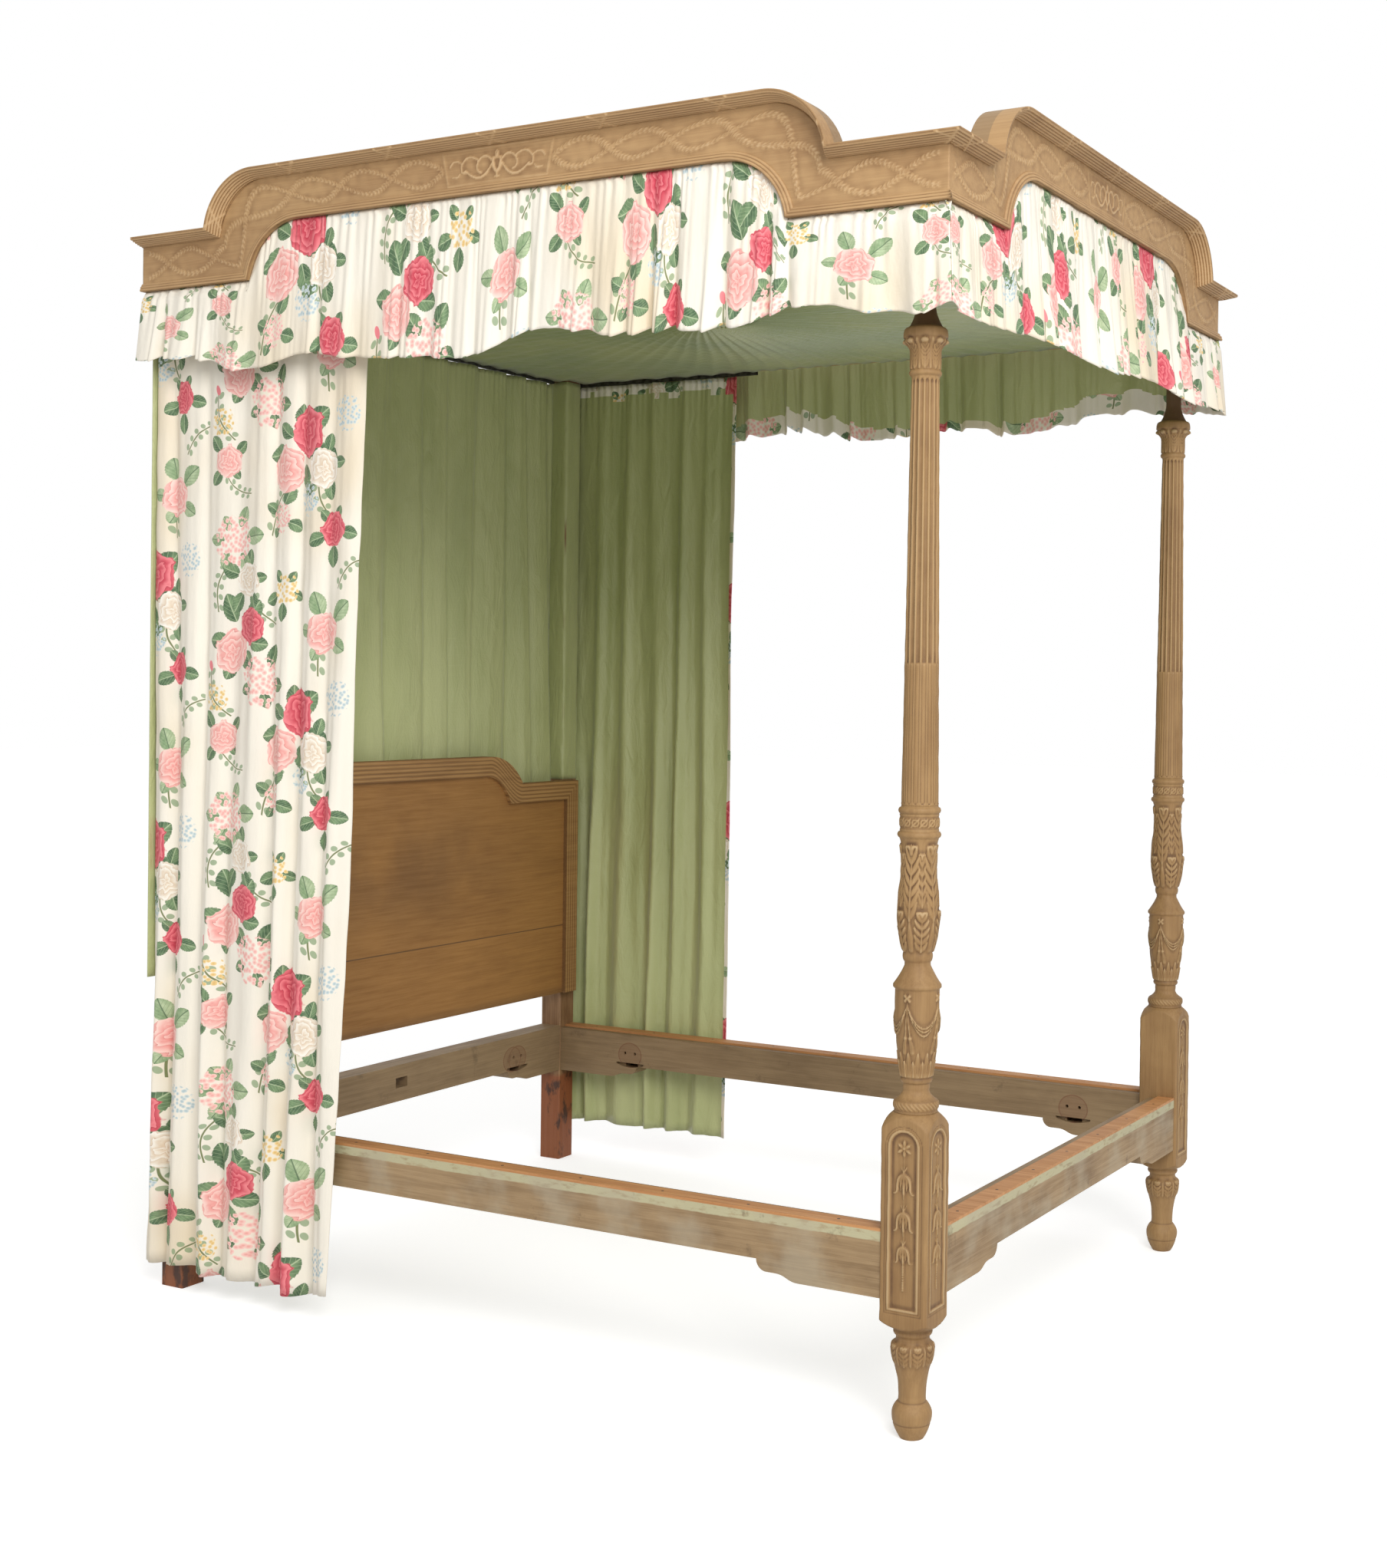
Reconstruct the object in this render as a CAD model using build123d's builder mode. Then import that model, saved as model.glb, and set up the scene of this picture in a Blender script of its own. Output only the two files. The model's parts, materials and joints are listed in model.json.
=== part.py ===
from build123d import *
import os
from math import atan2, hypot, radians, sqrt, tan

os.makedirs("parts", exist_ok=True)

# Millimetres, +Z up, floor at z = 0. X runs across the bed and Y along it, head at +Y.
# The origin is the centre of the bed's footprint.

# Driving sizes: the posts' places and the main levels
post_span_x = 1520.0        # between the foot posts' axes, across the bed
post_span_y = 2000.0        # from the foot posts' axes to the head posts' axes
cornice_past_foot = 130.0   # foot post axis to the crown's outer edge, foot end
cornice_past_side = 133.0   # foot post axis to the crown's outer edge, long sides
cornice_past_head = 80.0    # head post axis to the cornice's cut end
rail_top = 414.0            # top face of every bed rail
tester_bottom = 2440.0      # underside of the tester frame, where the posts end

y_foot = (cornice_past_foot - cornice_past_head - post_span_y) / 2
y_head = y_foot + post_span_y
x_foot = post_span_x / 2
y_middle = (y_foot + y_head) / 2

# Foot posts
block = 104.0               # side of the square block
block_bottom = 222.0
block_top = 652.0
block_pommel_low = 28.0     # height of the turned shoulder under the block
block_pommel_high = 57.0    # height of the turned shoulder above the block
column_foot = 1262.0        # bottom and top of the fluted column
column_head = 2110.0
column_radius_low = 37.2
column_radius_high = 28.0
stub_radius = 19.0          # plain top of the post, inside the valance

# Head posts
head_post = 72.0            # side of the plain square post
head_post_edge = 3.0        # worn edge chamfer

# Rails
rail_thick = 68.0
rail_height = 96.0          # between the brackets
bracket_drop = 37.0         # how far the brackets hang below the rail
bracket_side = 188.0        # full-depth length from the post: side rails
bracket_end = 161.0         # the same on the foot and head rails
bracket_step = 24.0         # quarter round at the bracket's tip
bracket_shelf = 22.0        # level stretch after the quarter round
bracket_ogee = 26.0         # length of each half of the ogee
rail_setback = 6.0          # foot block's face to the rail's outer face
tenon_long = 22.0
tenon_thick = 24.0
tenon_low = 336.0           # tenon's bottom and top levels, above the bolts
tenon_high = 400.0
fit = 0.25                  # clearance on each side of a tenon or pin
strip_thick = 6.0           # lath nailed on top of the outer part of the rail
strip_wide = 44.0
side_nail_count = 9         # nails in each strip
foot_nail_count = 7
nail_dia = 3.0
nail_head_dia = 7.0
nail_head_thick = 1.2
nail_long = 22.0            # in the rail
bearer_wide = 48.0          # mortise for a centre bearer, through the head rail
bearer_high = 28.0
bearer_level = 370.0
bearer_shift = -8.0         # from the middle of the rail

# Bed bolts and their pockets in the rails' inner faces
bolt_dia = 8.0
bolt_hole = 9.0
bolt_in_post = 17.0         # past the tenon's socket
bolt_level = 321.2
bolt_inset = 43.0           # rail's inner face to the bolt's axis, so bolts pass in a head post
pocket_wide = 100.0
pocket_end_high = 5.0       # the crescent's height at its ends
pocket_high = 13.6          # and at its middle
pocket_mouth = 12.0         # depth of the crescent
nut_mortise = 44.0          # length of the square mortise behind it
nut_mortise_deep = 52.0
pocket_from_foot_post = 197.0
pocket_from_head_post = 262.0
pocket_on_end_rails = 215.0
nut_across = 13.0
nut_thick = 7.0
keeper_dia = 9.0            # two screw holes above each pocket
keeper_deep = 25.0
keeper_pitch = 36.0
keeper_rise = 36.0

# Headboard
headboard_bottom = 529.0
headboard_shoulder = 1189.0
headboard_top = 1274.0
headboard_joint = 740.0     # level of the joint between the two boards
headboard_step = 488.0      # half width of the raised middle at the shoulder
headboard_flat = 332.0      # half width of its level top
headboard_bow = 23.0        # bow of the rounded corners
headboard_thick = 22.0
headboard_moulding_wide = 58.0
headboard_moulding_thick = 12.0
batten_x = 420.0
batten_wide = 60.0
batten_thick = 20.0
batten_short = 40.0         # short of the headboard's edges
headboard_screw_inset = 35.0
headboard_screw_in_post = 26.0
headboard_screw_low = 620.0
headboard_screw_high = 1100.0

# Tester frame
tester_rail_wide = 90.0
tester_rail_thick = 25.0
lath_wide = 60.0
lath_lap = 30.0             # the laths' ends are let into the side rails
lath_count = 3
pin_dia = 10.0
pin_in_post = 50.0

# Cornice
crown_out = 41.0            # the crown stands this far out of the frieze
crown_high = 17.0
crown_lip = 4.0
board_skirt = 22.5          # board thickness beside the tester rail
board_thick = 45.0          # board thickness above it
cornice_bottom = 2436.0
cornice_high = 126.0        # from the lower edge to the crown's top edge
upper_rise = 127.0          # the crown's top edge: rise of the arched middle and its corners
upper_radius = 150.0
upper_step_side = 838.0     # half width of the arched middle, long sides
upper_step_foot = 678.0     # the same at the foot end
lower_rise = 131.0          # the lower edge
lower_radius = 155.0
lower_step_side = 730.0
lower_step_foot = 572.0
lower_out = 9.0             # lower moulding
lower_high = 20.0
lower_lip = 4.0
lower_bow = 2.0
corner_block = 34.0
corner_block_high = 70.0

# Hangings
cloth_gap = 0.4             # soft pieces stay this far off what they could touch
valance_thick = 5.0
valance_out = 5.5           # frieze's face to the middle of the cloth, inwards
valance_wave = 7.5          # fold depth each way at the top and at the bottom
valance_wave_low = 13.0
valance_bottom = 2236.0
valance_flare = 24.0        # how far its lower edge hangs outside its top edge
valance_head_gap = 7.0      # cornice's cut end to the cloth's end
valance_folds_side = 25
valance_folds_foot = 20
curtain_thick = 6.0
curtain_folds = 7
curtain_top = 2414.0
curtain_hem_left = 62.0
curtain_hem_right = 112.0
curtain_past_head_post = 53.0   # head post's axis to the cloth's edge
curtain_edge_top = 606.0    # leading edge, from the head post's axis, at the top and at the hem
curtain_edge_left = 531.0
curtain_edge_right = 575.0
curtain_wave = 6.2          # fold depth each way at the top, the middle and the hem
curtain_wave_mid = 12.0
curtain_wave_low = 16.0
curtain_straight = 2230.0   # above this the cloth hangs in line with its track
curtain_mid = 1200.0
curtain_swing_mid = 10.0    # how far it hangs outside its track
curtain_swing_low = 15.0
curtain_travel = 65.0       # free track past the leading edge
head_cloth_thick = 5.0
head_cloth_folds = 13
head_cloth_hem = 764.0
head_cloth_wave = 8.0
head_cloth_wave_low = 13.0
head_cloth_tail = 55.0      # inner face of the left head post to where the folds end
head_cloth_bend = 13.0      # the same to where its tail has passed behind the post
head_cloth_lean = 2.0       # how far the tail has left the post's back at the post's axis
head_cloth_past_track = 14.0
head_cloth_swing = 22.0     # how far its end stands off behind the post
sleeve_thick = 1.5
sleeve_gap = 0.2
sleeve_above_headboard = 3.0
sleeve_below_tester = 6.0
lining_thick = 3.0
lining_short_of_track = 6.0
pleat_count = 72
pleat_high = 2.5
rosette_radius = 135.0
rosette_thick = 11.0
rosette_button = 22.0
rosette_button_high = 6.0
rosette_button_bow = 3.0
rosette_bow = 6.0
rosette_short = 1.0         # inside the ring of pleats
stub_gap = 1.0              # lining's hole round the post's stub
pleat_past_corner = 50.0    # the pleats are drawn this far past the lining's corners and cut off

# Tracks and gliders
track = 12.0                # outside of the square channel
track_wall = 1.6
track_slot = 3.2
track_inset = 10.0          # tester rail's outer edge to the track's centre
track_past_curtain = 2.0    # beyond the curtain's head edge
head_track_behind = 12.0    # head posts' axis to the head track
head_track_short = 10.0     # head post's inner face to the track's end
glider_head = 7.0
glider_thick = 5.0
glider_shank = 2.2
glider_gap = 0.3
gliders_side = 8
gliders_head = 14

# Fasteners
screw_dia = 5.0
screw_head_dia = 9.0
screw_head_high = 3.5
cornice_screw_pitch = 430.0
cornice_screw_bite = 35.0
corner_block_edge = 3.0

# Places worked out from the sizes above
rail_out_x = x_foot + block / 2 - rail_setback
rail_in_x = rail_out_x - rail_thick
rail_out_y = y_foot - block / 2 + rail_setback
foot_rail_inner_y = rail_out_y + rail_thick
head_x = rail_out_x - head_post / 2
head_front = y_head - head_post / 2
headboard_half = head_x       # the headboard ends at the middle of each head post
side_rail_start = y_foot + block / 2
foot_rail_half = x_foot - block / 2
head_rail_half = head_x - head_post / 2
frieze_x = x_foot + cornice_past_side - crown_out
frieze_y = y_foot - cornice_past_foot + crown_out
cornice_end = y_head + cornice_past_head
crown_top = cornice_bottom + cornice_high
tester_top = tester_bottom + tester_rail_thick
tester_x = frieze_x - board_skirt
tester_y = frieze_y + board_skirt
tester_end = cornice_end - board_skirt
track_x = tester_x - track_inset
head_track_y = y_head + head_track_behind
track_bottom = tester_bottom - track


def keep(solid, name):
    solid.label = name
    export_step(solid, f"parts/{name}.step")


# A plane seen from the foot end
def foot_view(y, x=0.0):
    return Plane(origin=(x, y, 0), x_dir=(1, 0, 0), z_dir=(0, -1, 0))


# Foot posts

# Each row is a height, the radius there and the bow of the stretch above it.
def foot_post_stations():
    low, high = block_bottom, block_top
    corner = block * 0.74
    neck = column_head
    return [
        (0, 24, 3.4), (47, 40.4, 3.2), (74, 28.4, 0), (84, 27.4, -2.4), (150, 37.4, 1.0),
        (176, 43, 3.2), (196, 34, 0), (204, 33.4, 0), (206, 35, 3.6), (219, 37, 0),
        (low, 40, 5), (low + block_pommel_low, corner, 0), (high - block_pommel_high, corner, 8),
        (high, 44, 0), (658, 43.3, 1.2), (676, 43.3, -5), (700, 27, 0), (710, 27, 0),
        (711, 29.5, 2.4), (722, 30, 1.6), (840, 44.5, 0), (897, 44.6, 0), (901, 48.6, 0),
        (906, 48.6, -1.2), (944, 26, 0), (951, 26, 0), (953, 28, 1.8), (970, 29, 3.6),
        (1050, 40.8, 1.0), (1110, 35.8, -2.6), (1190, 37, 0), (1197, 39, 0), (1199, 41.5, 2.4),
        (1210, 41.5, 0), (1211, 38.8, 0), (1246, 38.8, 0), (1247, 40.5, 2.2), (1258, 40.5, 0),
        (1259, 37.8, 0), (column_foot, column_radius_low, 0), (neck, column_radius_high, 0),
        (neck + 4, 29, 0), (neck + 5, 31, 1.8), (neck + 15, 31, 0), (neck + 16, 29, 0),
        (neck + 52, 29.5, -2.5), (neck + 70, 41, 0), (neck + 79, 41, 0), (neck + 80, 44.3, 0.8),
        (neck + 96, 43, 1.2), (neck + 102, 34, -4), (neck + 150, stub_radius + 0.5, 0),
        (tester_bottom, stub_radius, 0)]


def turned_outline(stations):
    for (z0, r0, bow), (z1, r1, _) in zip(stations, stations[1:]):
        if bow:
            SagittaArc((r0, z0), (r1, z1), -bow)
        else:
            Line((r0, z0), (r1, z1))
    Line((stations[-1][1], stations[-1][0]), (0, stations[-1][0]))
    Line((0, stations[-1][0]), (0, stations[0][0]))
    Line((0, stations[0][0]), (stations[0][1], stations[0][0]))


# Socket for a rail's tenon and, below it, the hole for the bolt. The corner is where the rail's
# inner face meets the post, outward is the way the rail leaves it, and across points from the
# rail's inner face to its outer one.
def rail_joint(x, y, outward, across):
    corner, step = Vector(x, y, 0), Vector(across)
    tenon_at = corner + step * (rail_thick / 2) + Vector(0, 0, (tenon_low + tenon_high) / 2)
    with BuildSketch(Plane(origin=tenon_at, x_dir=across, z_dir=outward)) as socket:
        Rectangle(tenon_thick + 2 * fit, tenon_high - tenon_low + 2 * fit)
    extrude(socket.sketch, amount=-(tenon_long + 1), mode=Mode.SUBTRACT)
    bolt_at = corner + step * bolt_inset + Vector(0, 0, bolt_level)
    with BuildSketch(Plane(origin=bolt_at, x_dir=across, z_dir=outward)) as hole:
        Circle(bolt_dia / 2)
    extrude(hole.sketch, amount=-(tenon_long + 1 + bolt_in_post), mode=Mode.SUBTRACT)


def pin_socket(x, y):
    with BuildSketch(Plane(origin=(x, y, tester_bottom))) as hole:
        Circle(pin_dia / 2)
    extrude(hole.sketch, amount=-pin_in_post, mode=Mode.SUBTRACT)


def make_foot_post(side):
    x = side * x_foot
    with BuildPart() as post:
        with BuildSketch(foot_view(y_foot, x)):
            with BuildLine():
                turned_outline(foot_post_stations())
            make_face()
        revolve(axis=Axis((x, y_foot, 0), (0, 0, 1)))
        with BuildSketch(Plane(origin=(x, y_foot, 0))):
            Rectangle(block, block)
        extrude(amount=tester_bottom, mode=Mode.INTERSECT)
        rail_joint(side * rail_in_x, side_rail_start, (0, 1, 0), (side, 0, 0))
        rail_joint(side * foot_rail_half, foot_rail_inner_y, (-side, 0, 0), (0, -1, 0))
        pin_socket(x, y_foot)
    return post.part


def make_head_post(side):
    x = side * head_x
    with BuildPart() as post:
        with BuildSketch(Plane(origin=(x, y_head, 0))):
            Rectangle(head_post, head_post)
        extrude(amount=tester_bottom)
        chamfer(post.edges().filter_by(Axis.Z), head_post_edge)
        rail_joint(side * rail_in_x, head_front, (0, -1, 0), (side, 0, 0))
        rail_joint(side * head_rail_half, head_front, (-side, 0, 0), (0, 1, 0))
        pin_socket(x, y_head)
        screws = headboard_screw_places(headboard_bottom, headboard_top)
        with BuildSketch(foot_view(head_front)):
            with Locations(*[(sx, z) for sx, z in screws if sx * side > 0]):
                Circle(screw_dia / 2)
        extrude(amount=-headboard_screw_in_post, mode=Mode.SUBTRACT)
    return post.part


# Rails

# Lower edge of a bracket, walked from the rail's end to its plain part, where way is +1 or -1.
def bracket_edge(start, way, full_depth):
    plain = rail_top - rail_height
    deep = plain - bracket_drop
    shelf = plain - bracket_step
    rise = (shelf - deep) / 2
    bow = way * hypot(rise, bracket_ogee) / 2 * tan(atan2(rise, bracket_ogee) / 2)
    s1 = start + way * full_depth
    s2 = s1 + way * bracket_ogee
    s3 = s2 + way * bracket_ogee
    s4 = s3 + way * bracket_shelf
    s5 = s4 + way * bracket_step
    Line((start, deep), (s1, deep))
    SagittaArc((s1, deep), (s2, deep + rise), -bow)
    SagittaArc((s2, deep + rise), (s3, shelf), bow)
    Line((s3, shelf), (s4, shelf))
    RadiusArc((s4, shelf), (s5, plain), -way * bracket_step)
    return s5


def rail_outline(start, end, full_depth, top):
    plain = rail_top - rail_height
    a = bracket_edge(start, 1, full_depth)
    b = bracket_edge(end, -1, full_depth)
    Line((a, plain), (b, plain))
    Polyline((start, plain - bracket_drop), (start, top), (end, top), (end, plain - bracket_drop))


# Crescent mouth, the square mortise behind it and two screw holes above, in a rail's inner face.
def bolt_pocket(inner_face, s):
    half, top = pocket_wide / 2, bolt_level + pocket_high / 2
    ends_low = top - pocket_end_high
    with BuildSketch(inner_face) as mouth:
        with BuildLine():
            Polyline((s - half, ends_low), (s - half, top), (s + half, top), (s + half, ends_low))
            ThreePointArc((s + half, ends_low), (s, top - pocket_high), (s - half, ends_low))
        make_face()
    extrude(mouth.sketch, amount=-pocket_mouth, mode=Mode.SUBTRACT)
    with BuildSketch(inner_face.offset(-pocket_mouth)) as mortise:
        with Locations((s, bolt_level)):
            Rectangle(nut_mortise, pocket_high)
    extrude(mortise.sketch, amount=pocket_mouth - nut_mortise_deep, mode=Mode.SUBTRACT)
    with BuildSketch(inner_face) as keepers:
        with Locations((s, bolt_level + keeper_rise)):
            with GridLocations(keeper_pitch, 1, 2, 1):
                Circle(keeper_dia / 2)
    extrude(keepers.sketch, amount=-keeper_deep, mode=Mode.SUBTRACT)


# A rail drawn on its inner face, where s runs along the rail and up is up. The pockets are given
# by their distances from the rail's two ends.
def make_rail(inner_face, start, end, full_depth, pockets, top=rail_top, nails=(), bearer=False):
    with BuildPart() as rail:
        with BuildSketch(inner_face):
            with BuildLine():
                rail_outline(start, end, full_depth, top)
            make_face()
        extrude(amount=-rail_thick)
        with BuildSketch(inner_face.offset(-rail_thick / 2)):
            for s in (start - tenon_long / 2, end + tenon_long / 2):
                with Locations((s, (tenon_low + tenon_high) / 2)):
                    Rectangle(tenon_long, tenon_high - tenon_low)
        extrude(amount=tenon_thick / 2, both=True)
        for s, way, reach in ((start, 1, pockets[0]), (end, -1, pockets[1])):
            bolt_pocket(inner_face, s + way * reach)
            hole_start = inner_face.from_local_coords((s, bolt_level, -bolt_inset))
            with BuildSketch(Plane(origin=hole_start, z_dir=inner_face.x_dir * way)):
                Circle(bolt_hole / 2)
            extrude(amount=reach - nut_mortise / 2 + 1, mode=Mode.SUBTRACT)
        if nails:
            with BuildSketch(Plane.XY.offset(top)):
                with Locations(*nails):
                    Circle(nail_dia / 2)
            extrude(amount=-nail_long, mode=Mode.SUBTRACT)
        if bearer:
            with BuildSketch(inner_face):
                with Locations(((start + end) / 2 + bearer_shift, bearer_level)):
                    Rectangle(bearer_wide, bearer_high)
            extrude(amount=-rail_thick, mode=Mode.SUBTRACT)
    return rail.part


# Left rail: s is y. Right rail, seen from inside the bed: s is -y.
def make_side_rail(side):
    face = Plane(origin=(side * rail_in_x, 0, 0), x_dir=(0, -side, 0), z_dir=(-side, 0, 0))
    ends = (side_rail_start, head_front)
    pockets = (pocket_from_foot_post, pocket_from_head_post)
    if side > 0:
        ends = (-ends[1], -ends[0])
        pockets = pockets[::-1]
    return make_rail(face, *ends, bracket_side, pockets, nails=side_nails(side))


def make_foot_rail():
    face = Plane(origin=(0, foot_rail_inner_y, 0), x_dir=(-1, 0, 0), z_dir=(0, 1, 0))
    pockets = (pocket_on_end_rails, pocket_on_end_rails)
    return make_rail(face, -foot_rail_half, foot_rail_half, bracket_end, pockets, nails=foot_nails())


def make_head_rail():
    pockets = (pocket_on_end_rails, pocket_on_end_rails)
    return make_rail(foot_view(head_front), -head_rail_half, head_rail_half, bracket_end, pockets,
                     top=rail_top + strip_thick, bearer=True)


# Strips on the rails, nailed along their middle
def side_nails(side):
    pitch = (head_front - side_rail_start) / side_nail_count
    return [(side * (rail_out_x - strip_wide / 2), side_rail_start + pitch * (i + 0.5))
            for i in range(side_nail_count)]


def foot_nails():
    pitch = 2 * foot_rail_half / foot_nail_count
    return [(-foot_rail_half + pitch * (i + 0.5),
             rail_out_y + strip_wide / 2) for i in range(foot_nail_count)]


def make_strip(x_size, y_size, centre, nails):
    with BuildPart() as strip:
        with BuildSketch(Plane(origin=(*centre, rail_top))):
            Rectangle(x_size, y_size)
        extrude(amount=strip_thick)
        with BuildSketch(Plane.XY.offset(rail_top)):
            with Locations(*nails):
                Circle(nail_dia / 2)
        extrude(amount=strip_thick, mode=Mode.SUBTRACT)
        with BuildSketch(Plane.XY.offset(rail_top + strip_thick)):
            with Locations(*nails):
                Circle(nail_head_dia / 2)
        extrude(amount=-nail_head_thick, mode=Mode.SUBTRACT)
    return strip.part


def make_side_strip(side):
    centre = (side * (rail_out_x - strip_wide / 2), (side_rail_start + head_front) / 2)
    return make_strip(strip_wide, head_front - side_rail_start, centre, side_nails(side))


def make_foot_strip():
    return make_strip(2 * foot_rail_half, strip_wide, (0, rail_out_y + strip_wide / 2), foot_nails())


def make_nails():
    with BuildPart() as nails:
        places = side_nails(-1) + side_nails(1) + foot_nails()
        with BuildSketch(Plane.XY.offset(rail_top + strip_thick)):
            with Locations(*places):
                Circle(nail_head_dia / 2)
        extrude(amount=-nail_head_thick)
        with BuildSketch(Plane.XY.offset(rail_top + strip_thick)):
            with Locations(*places):
                Circle(nail_dia / 2)
        extrude(amount=-strip_thick - nail_long)
    return nails.part


# Bed bolts: each axis starts at a post's face and points into the rail.
def bolt_axes():
    axes = []
    for side in (-1, 1):
        x = side * (rail_in_x + bolt_inset)
        foot_y = foot_rail_inner_y - bolt_inset
        head_y = head_front + bolt_inset
        axes.append((Vector(x, side_rail_start, bolt_level), (0, 1, 0), pocket_from_foot_post))
        axes.append((Vector(x, head_front, bolt_level), (0, -1, 0), pocket_from_head_post))
        axes.append((Vector(side * foot_rail_half, foot_y, bolt_level), (-side, 0, 0), pocket_on_end_rails))
        axes.append((Vector(side * head_rail_half, head_y, bolt_level), (-side, 0, 0), pocket_on_end_rails))
    return axes


def make_bolts():
    behind = tenon_long + 1 + bolt_in_post
    with BuildPart() as bolts:
        for origin, direction, reach in bolt_axes():
            with BuildSketch(Plane(origin=origin, z_dir=direction).offset(-behind)):
                Circle(bolt_dia / 2)
            extrude(amount=behind + reach - nut_mortise / 2 + nut_thick + 4)
    return bolts.part


def make_nuts():
    with BuildPart() as nuts:
        for origin, direction, reach in bolt_axes():
            level_dir = Vector(direction).cross(Vector(0, 0, 1))
            seat = Plane(origin=origin, x_dir=level_dir, z_dir=direction).offset(reach - nut_mortise / 2)
            with BuildSketch(seat):
                RegularPolygon(nut_across / 2, 6, major_radius=False)
                Circle(bolt_dia / 2, mode=Mode.SUBTRACT)
            extrude(amount=nut_thick)
    return nuts.part


# Headboard
def headboard_outline(inset=0.0, bottom=headboard_bottom):
    half, step, flat = headboard_half - inset, headboard_step - inset, headboard_flat - inset / 3
    shoulder, top = headboard_shoulder - inset, headboard_top - inset
    Polyline((-step, shoulder), (-half, shoulder), (-half, bottom), (half, bottom), (half, shoulder),
             (step, shoulder))
    SagittaArc((step, shoulder), (flat, top), -headboard_bow)
    Line((flat, top), (-flat, top))
    SagittaArc((-flat, top), (-step, shoulder), -headboard_bow)


def headboard_screw_places(low, high):
    x = headboard_half - headboard_screw_inset
    levels = [z for z in (headboard_screw_low, headboard_screw_high) if low < z < high]
    return [(side * x, z) for side in (-1, 1) for z in levels]


def make_headboard_board(low, high):
    front = foot_view(head_front - headboard_thick)
    with BuildPart() as board:
        with BuildSketch(foot_view(head_front)):
            with BuildLine():
                headboard_outline()
            make_face()
            with Locations((0, (low + high) / 2)):
                Rectangle(2 * headboard_half, high - low, mode=Mode.INTERSECT)
        extrude(amount=headboard_thick)
        with BuildSketch(front):
            with Locations(*headboard_screw_places(low, high)):
                Circle(screw_dia / 2)
        extrude(amount=-headboard_thick, mode=Mode.SUBTRACT)
        with BuildSketch(front):
            with Locations(*headboard_screw_places(low, high)):
                Circle(screw_head_dia / 2)
        extrude(amount=-screw_head_high, mode=Mode.SUBTRACT)
    return board.part


def make_headboard_moulding():
    with BuildPart() as moulding:
        with BuildSketch(foot_view(head_front - headboard_thick)):
            with BuildLine():
                headboard_outline()
            make_face()
            with BuildLine():
                headboard_outline(headboard_moulding_wide, headboard_bottom - 1)
            make_face(mode=Mode.SUBTRACT)
        extrude(amount=headboard_moulding_thick)
    return moulding.part


def make_battens():
    with BuildPart() as battens:
        with BuildSketch(foot_view(head_front)):
            with Locations((0, (headboard_bottom + headboard_shoulder) / 2)):
                with GridLocations(2 * batten_x, 1, 2, 1):
                    Rectangle(batten_wide, headboard_shoulder - headboard_bottom - 2 * batten_short)
        extrude(amount=-batten_thick)
    return battens.part


def make_headboard_screws():
    front = foot_view(head_front - headboard_thick)
    with BuildPart() as screws:
        with BuildSketch(front):
            with Locations(*headboard_screw_places(headboard_bottom, headboard_top)):
                Circle(screw_head_dia / 2)
        extrude(amount=-screw_head_high)
        with BuildSketch(front):
            with Locations(*headboard_screw_places(headboard_bottom, headboard_top)):
                Circle(screw_dia / 2)
        extrude(amount=-headboard_thick - headboard_screw_in_post)
    return screws.part


# Tester frame: the side rails keep the lower half of each corner lap.
def lath_places():
    first, last = tester_y + tester_rail_wide, y_head - tester_rail_wide / 2
    pitch = (last - first) / (lath_count + 1)
    return [first + pitch * (i + 1) for i in range(lath_count)]


def tester_corner_y():
    return (tester_y + tester_rail_wide / 2, y_head)


def cornice_screw_y():
    return [y_middle + i * cornice_screw_pitch for i in range(-2, 3)]


def cornice_screw_x():
    return [i * cornice_screw_pitch for i in range(-1, 2)]


def make_tester_side_rail(side):
    x = side * (tester_x - tester_rail_wide / 2)
    half = tester_rail_thick / 2
    with BuildPart() as rail:
        with BuildSketch(Plane(origin=(x, (tester_y + tester_end) / 2, tester_bottom))):
            Rectangle(tester_rail_wide, tester_end - tester_y)
        extrude(amount=tester_rail_thick)
        with BuildSketch(Plane.XY.offset(tester_top)):
            for y in tester_corner_y():
                with Locations((x, y)):
                    Rectangle(tester_rail_wide, tester_rail_wide)
        extrude(amount=-half, mode=Mode.SUBTRACT)
        with BuildSketch(Plane.XY.offset(tester_bottom)):
            for y in lath_places():
                with Locations((x - side * (tester_rail_wide - lath_lap) / 2, y)):
                    Rectangle(lath_lap, lath_wide)
        extrude(amount=half, mode=Mode.SUBTRACT)
        with BuildSketch(Plane.XY.offset(tester_bottom)):
            with Locations((side * x_foot, y_foot), (side * head_x, y_head)):
                Circle(pin_dia / 2)
            with Locations(*[(side * (tester_x - board_skirt / 2), y) for y in cornice_screw_y()]):
                Circle(screw_dia / 2)
        extrude(amount=tester_rail_thick, mode=Mode.SUBTRACT)
    return rail.part


def make_tester_end_rail(y, screws=()):
    half = tester_rail_thick / 2
    with BuildPart() as rail:
        with BuildSketch(Plane(origin=(0, y, tester_bottom))):
            Rectangle(2 * tester_x, tester_rail_wide)
        extrude(amount=tester_rail_thick)
        with BuildSketch(Plane(origin=(0, y, tester_bottom))):
            with GridLocations(2 * tester_x - tester_rail_wide, 1, 2, 1):
                Rectangle(tester_rail_wide, tester_rail_wide)
        extrude(amount=half, mode=Mode.SUBTRACT)
        post_x, post_y = (x_foot, y_foot) if y < 0 else (head_x, y_head)
        with BuildSketch(Plane.XY.offset(tester_bottom)):
            with Locations((-post_x, post_y), (post_x, post_y)):
                Circle(pin_dia / 2)
            if screws:
                with Locations(*screws):
                    Circle(screw_dia / 2)
        extrude(amount=tester_rail_thick, mode=Mode.SUBTRACT)
    return rail.part


def foot_screw_places():
    return [(x, tester_y + board_skirt / 2) for x in cornice_screw_x()]


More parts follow.
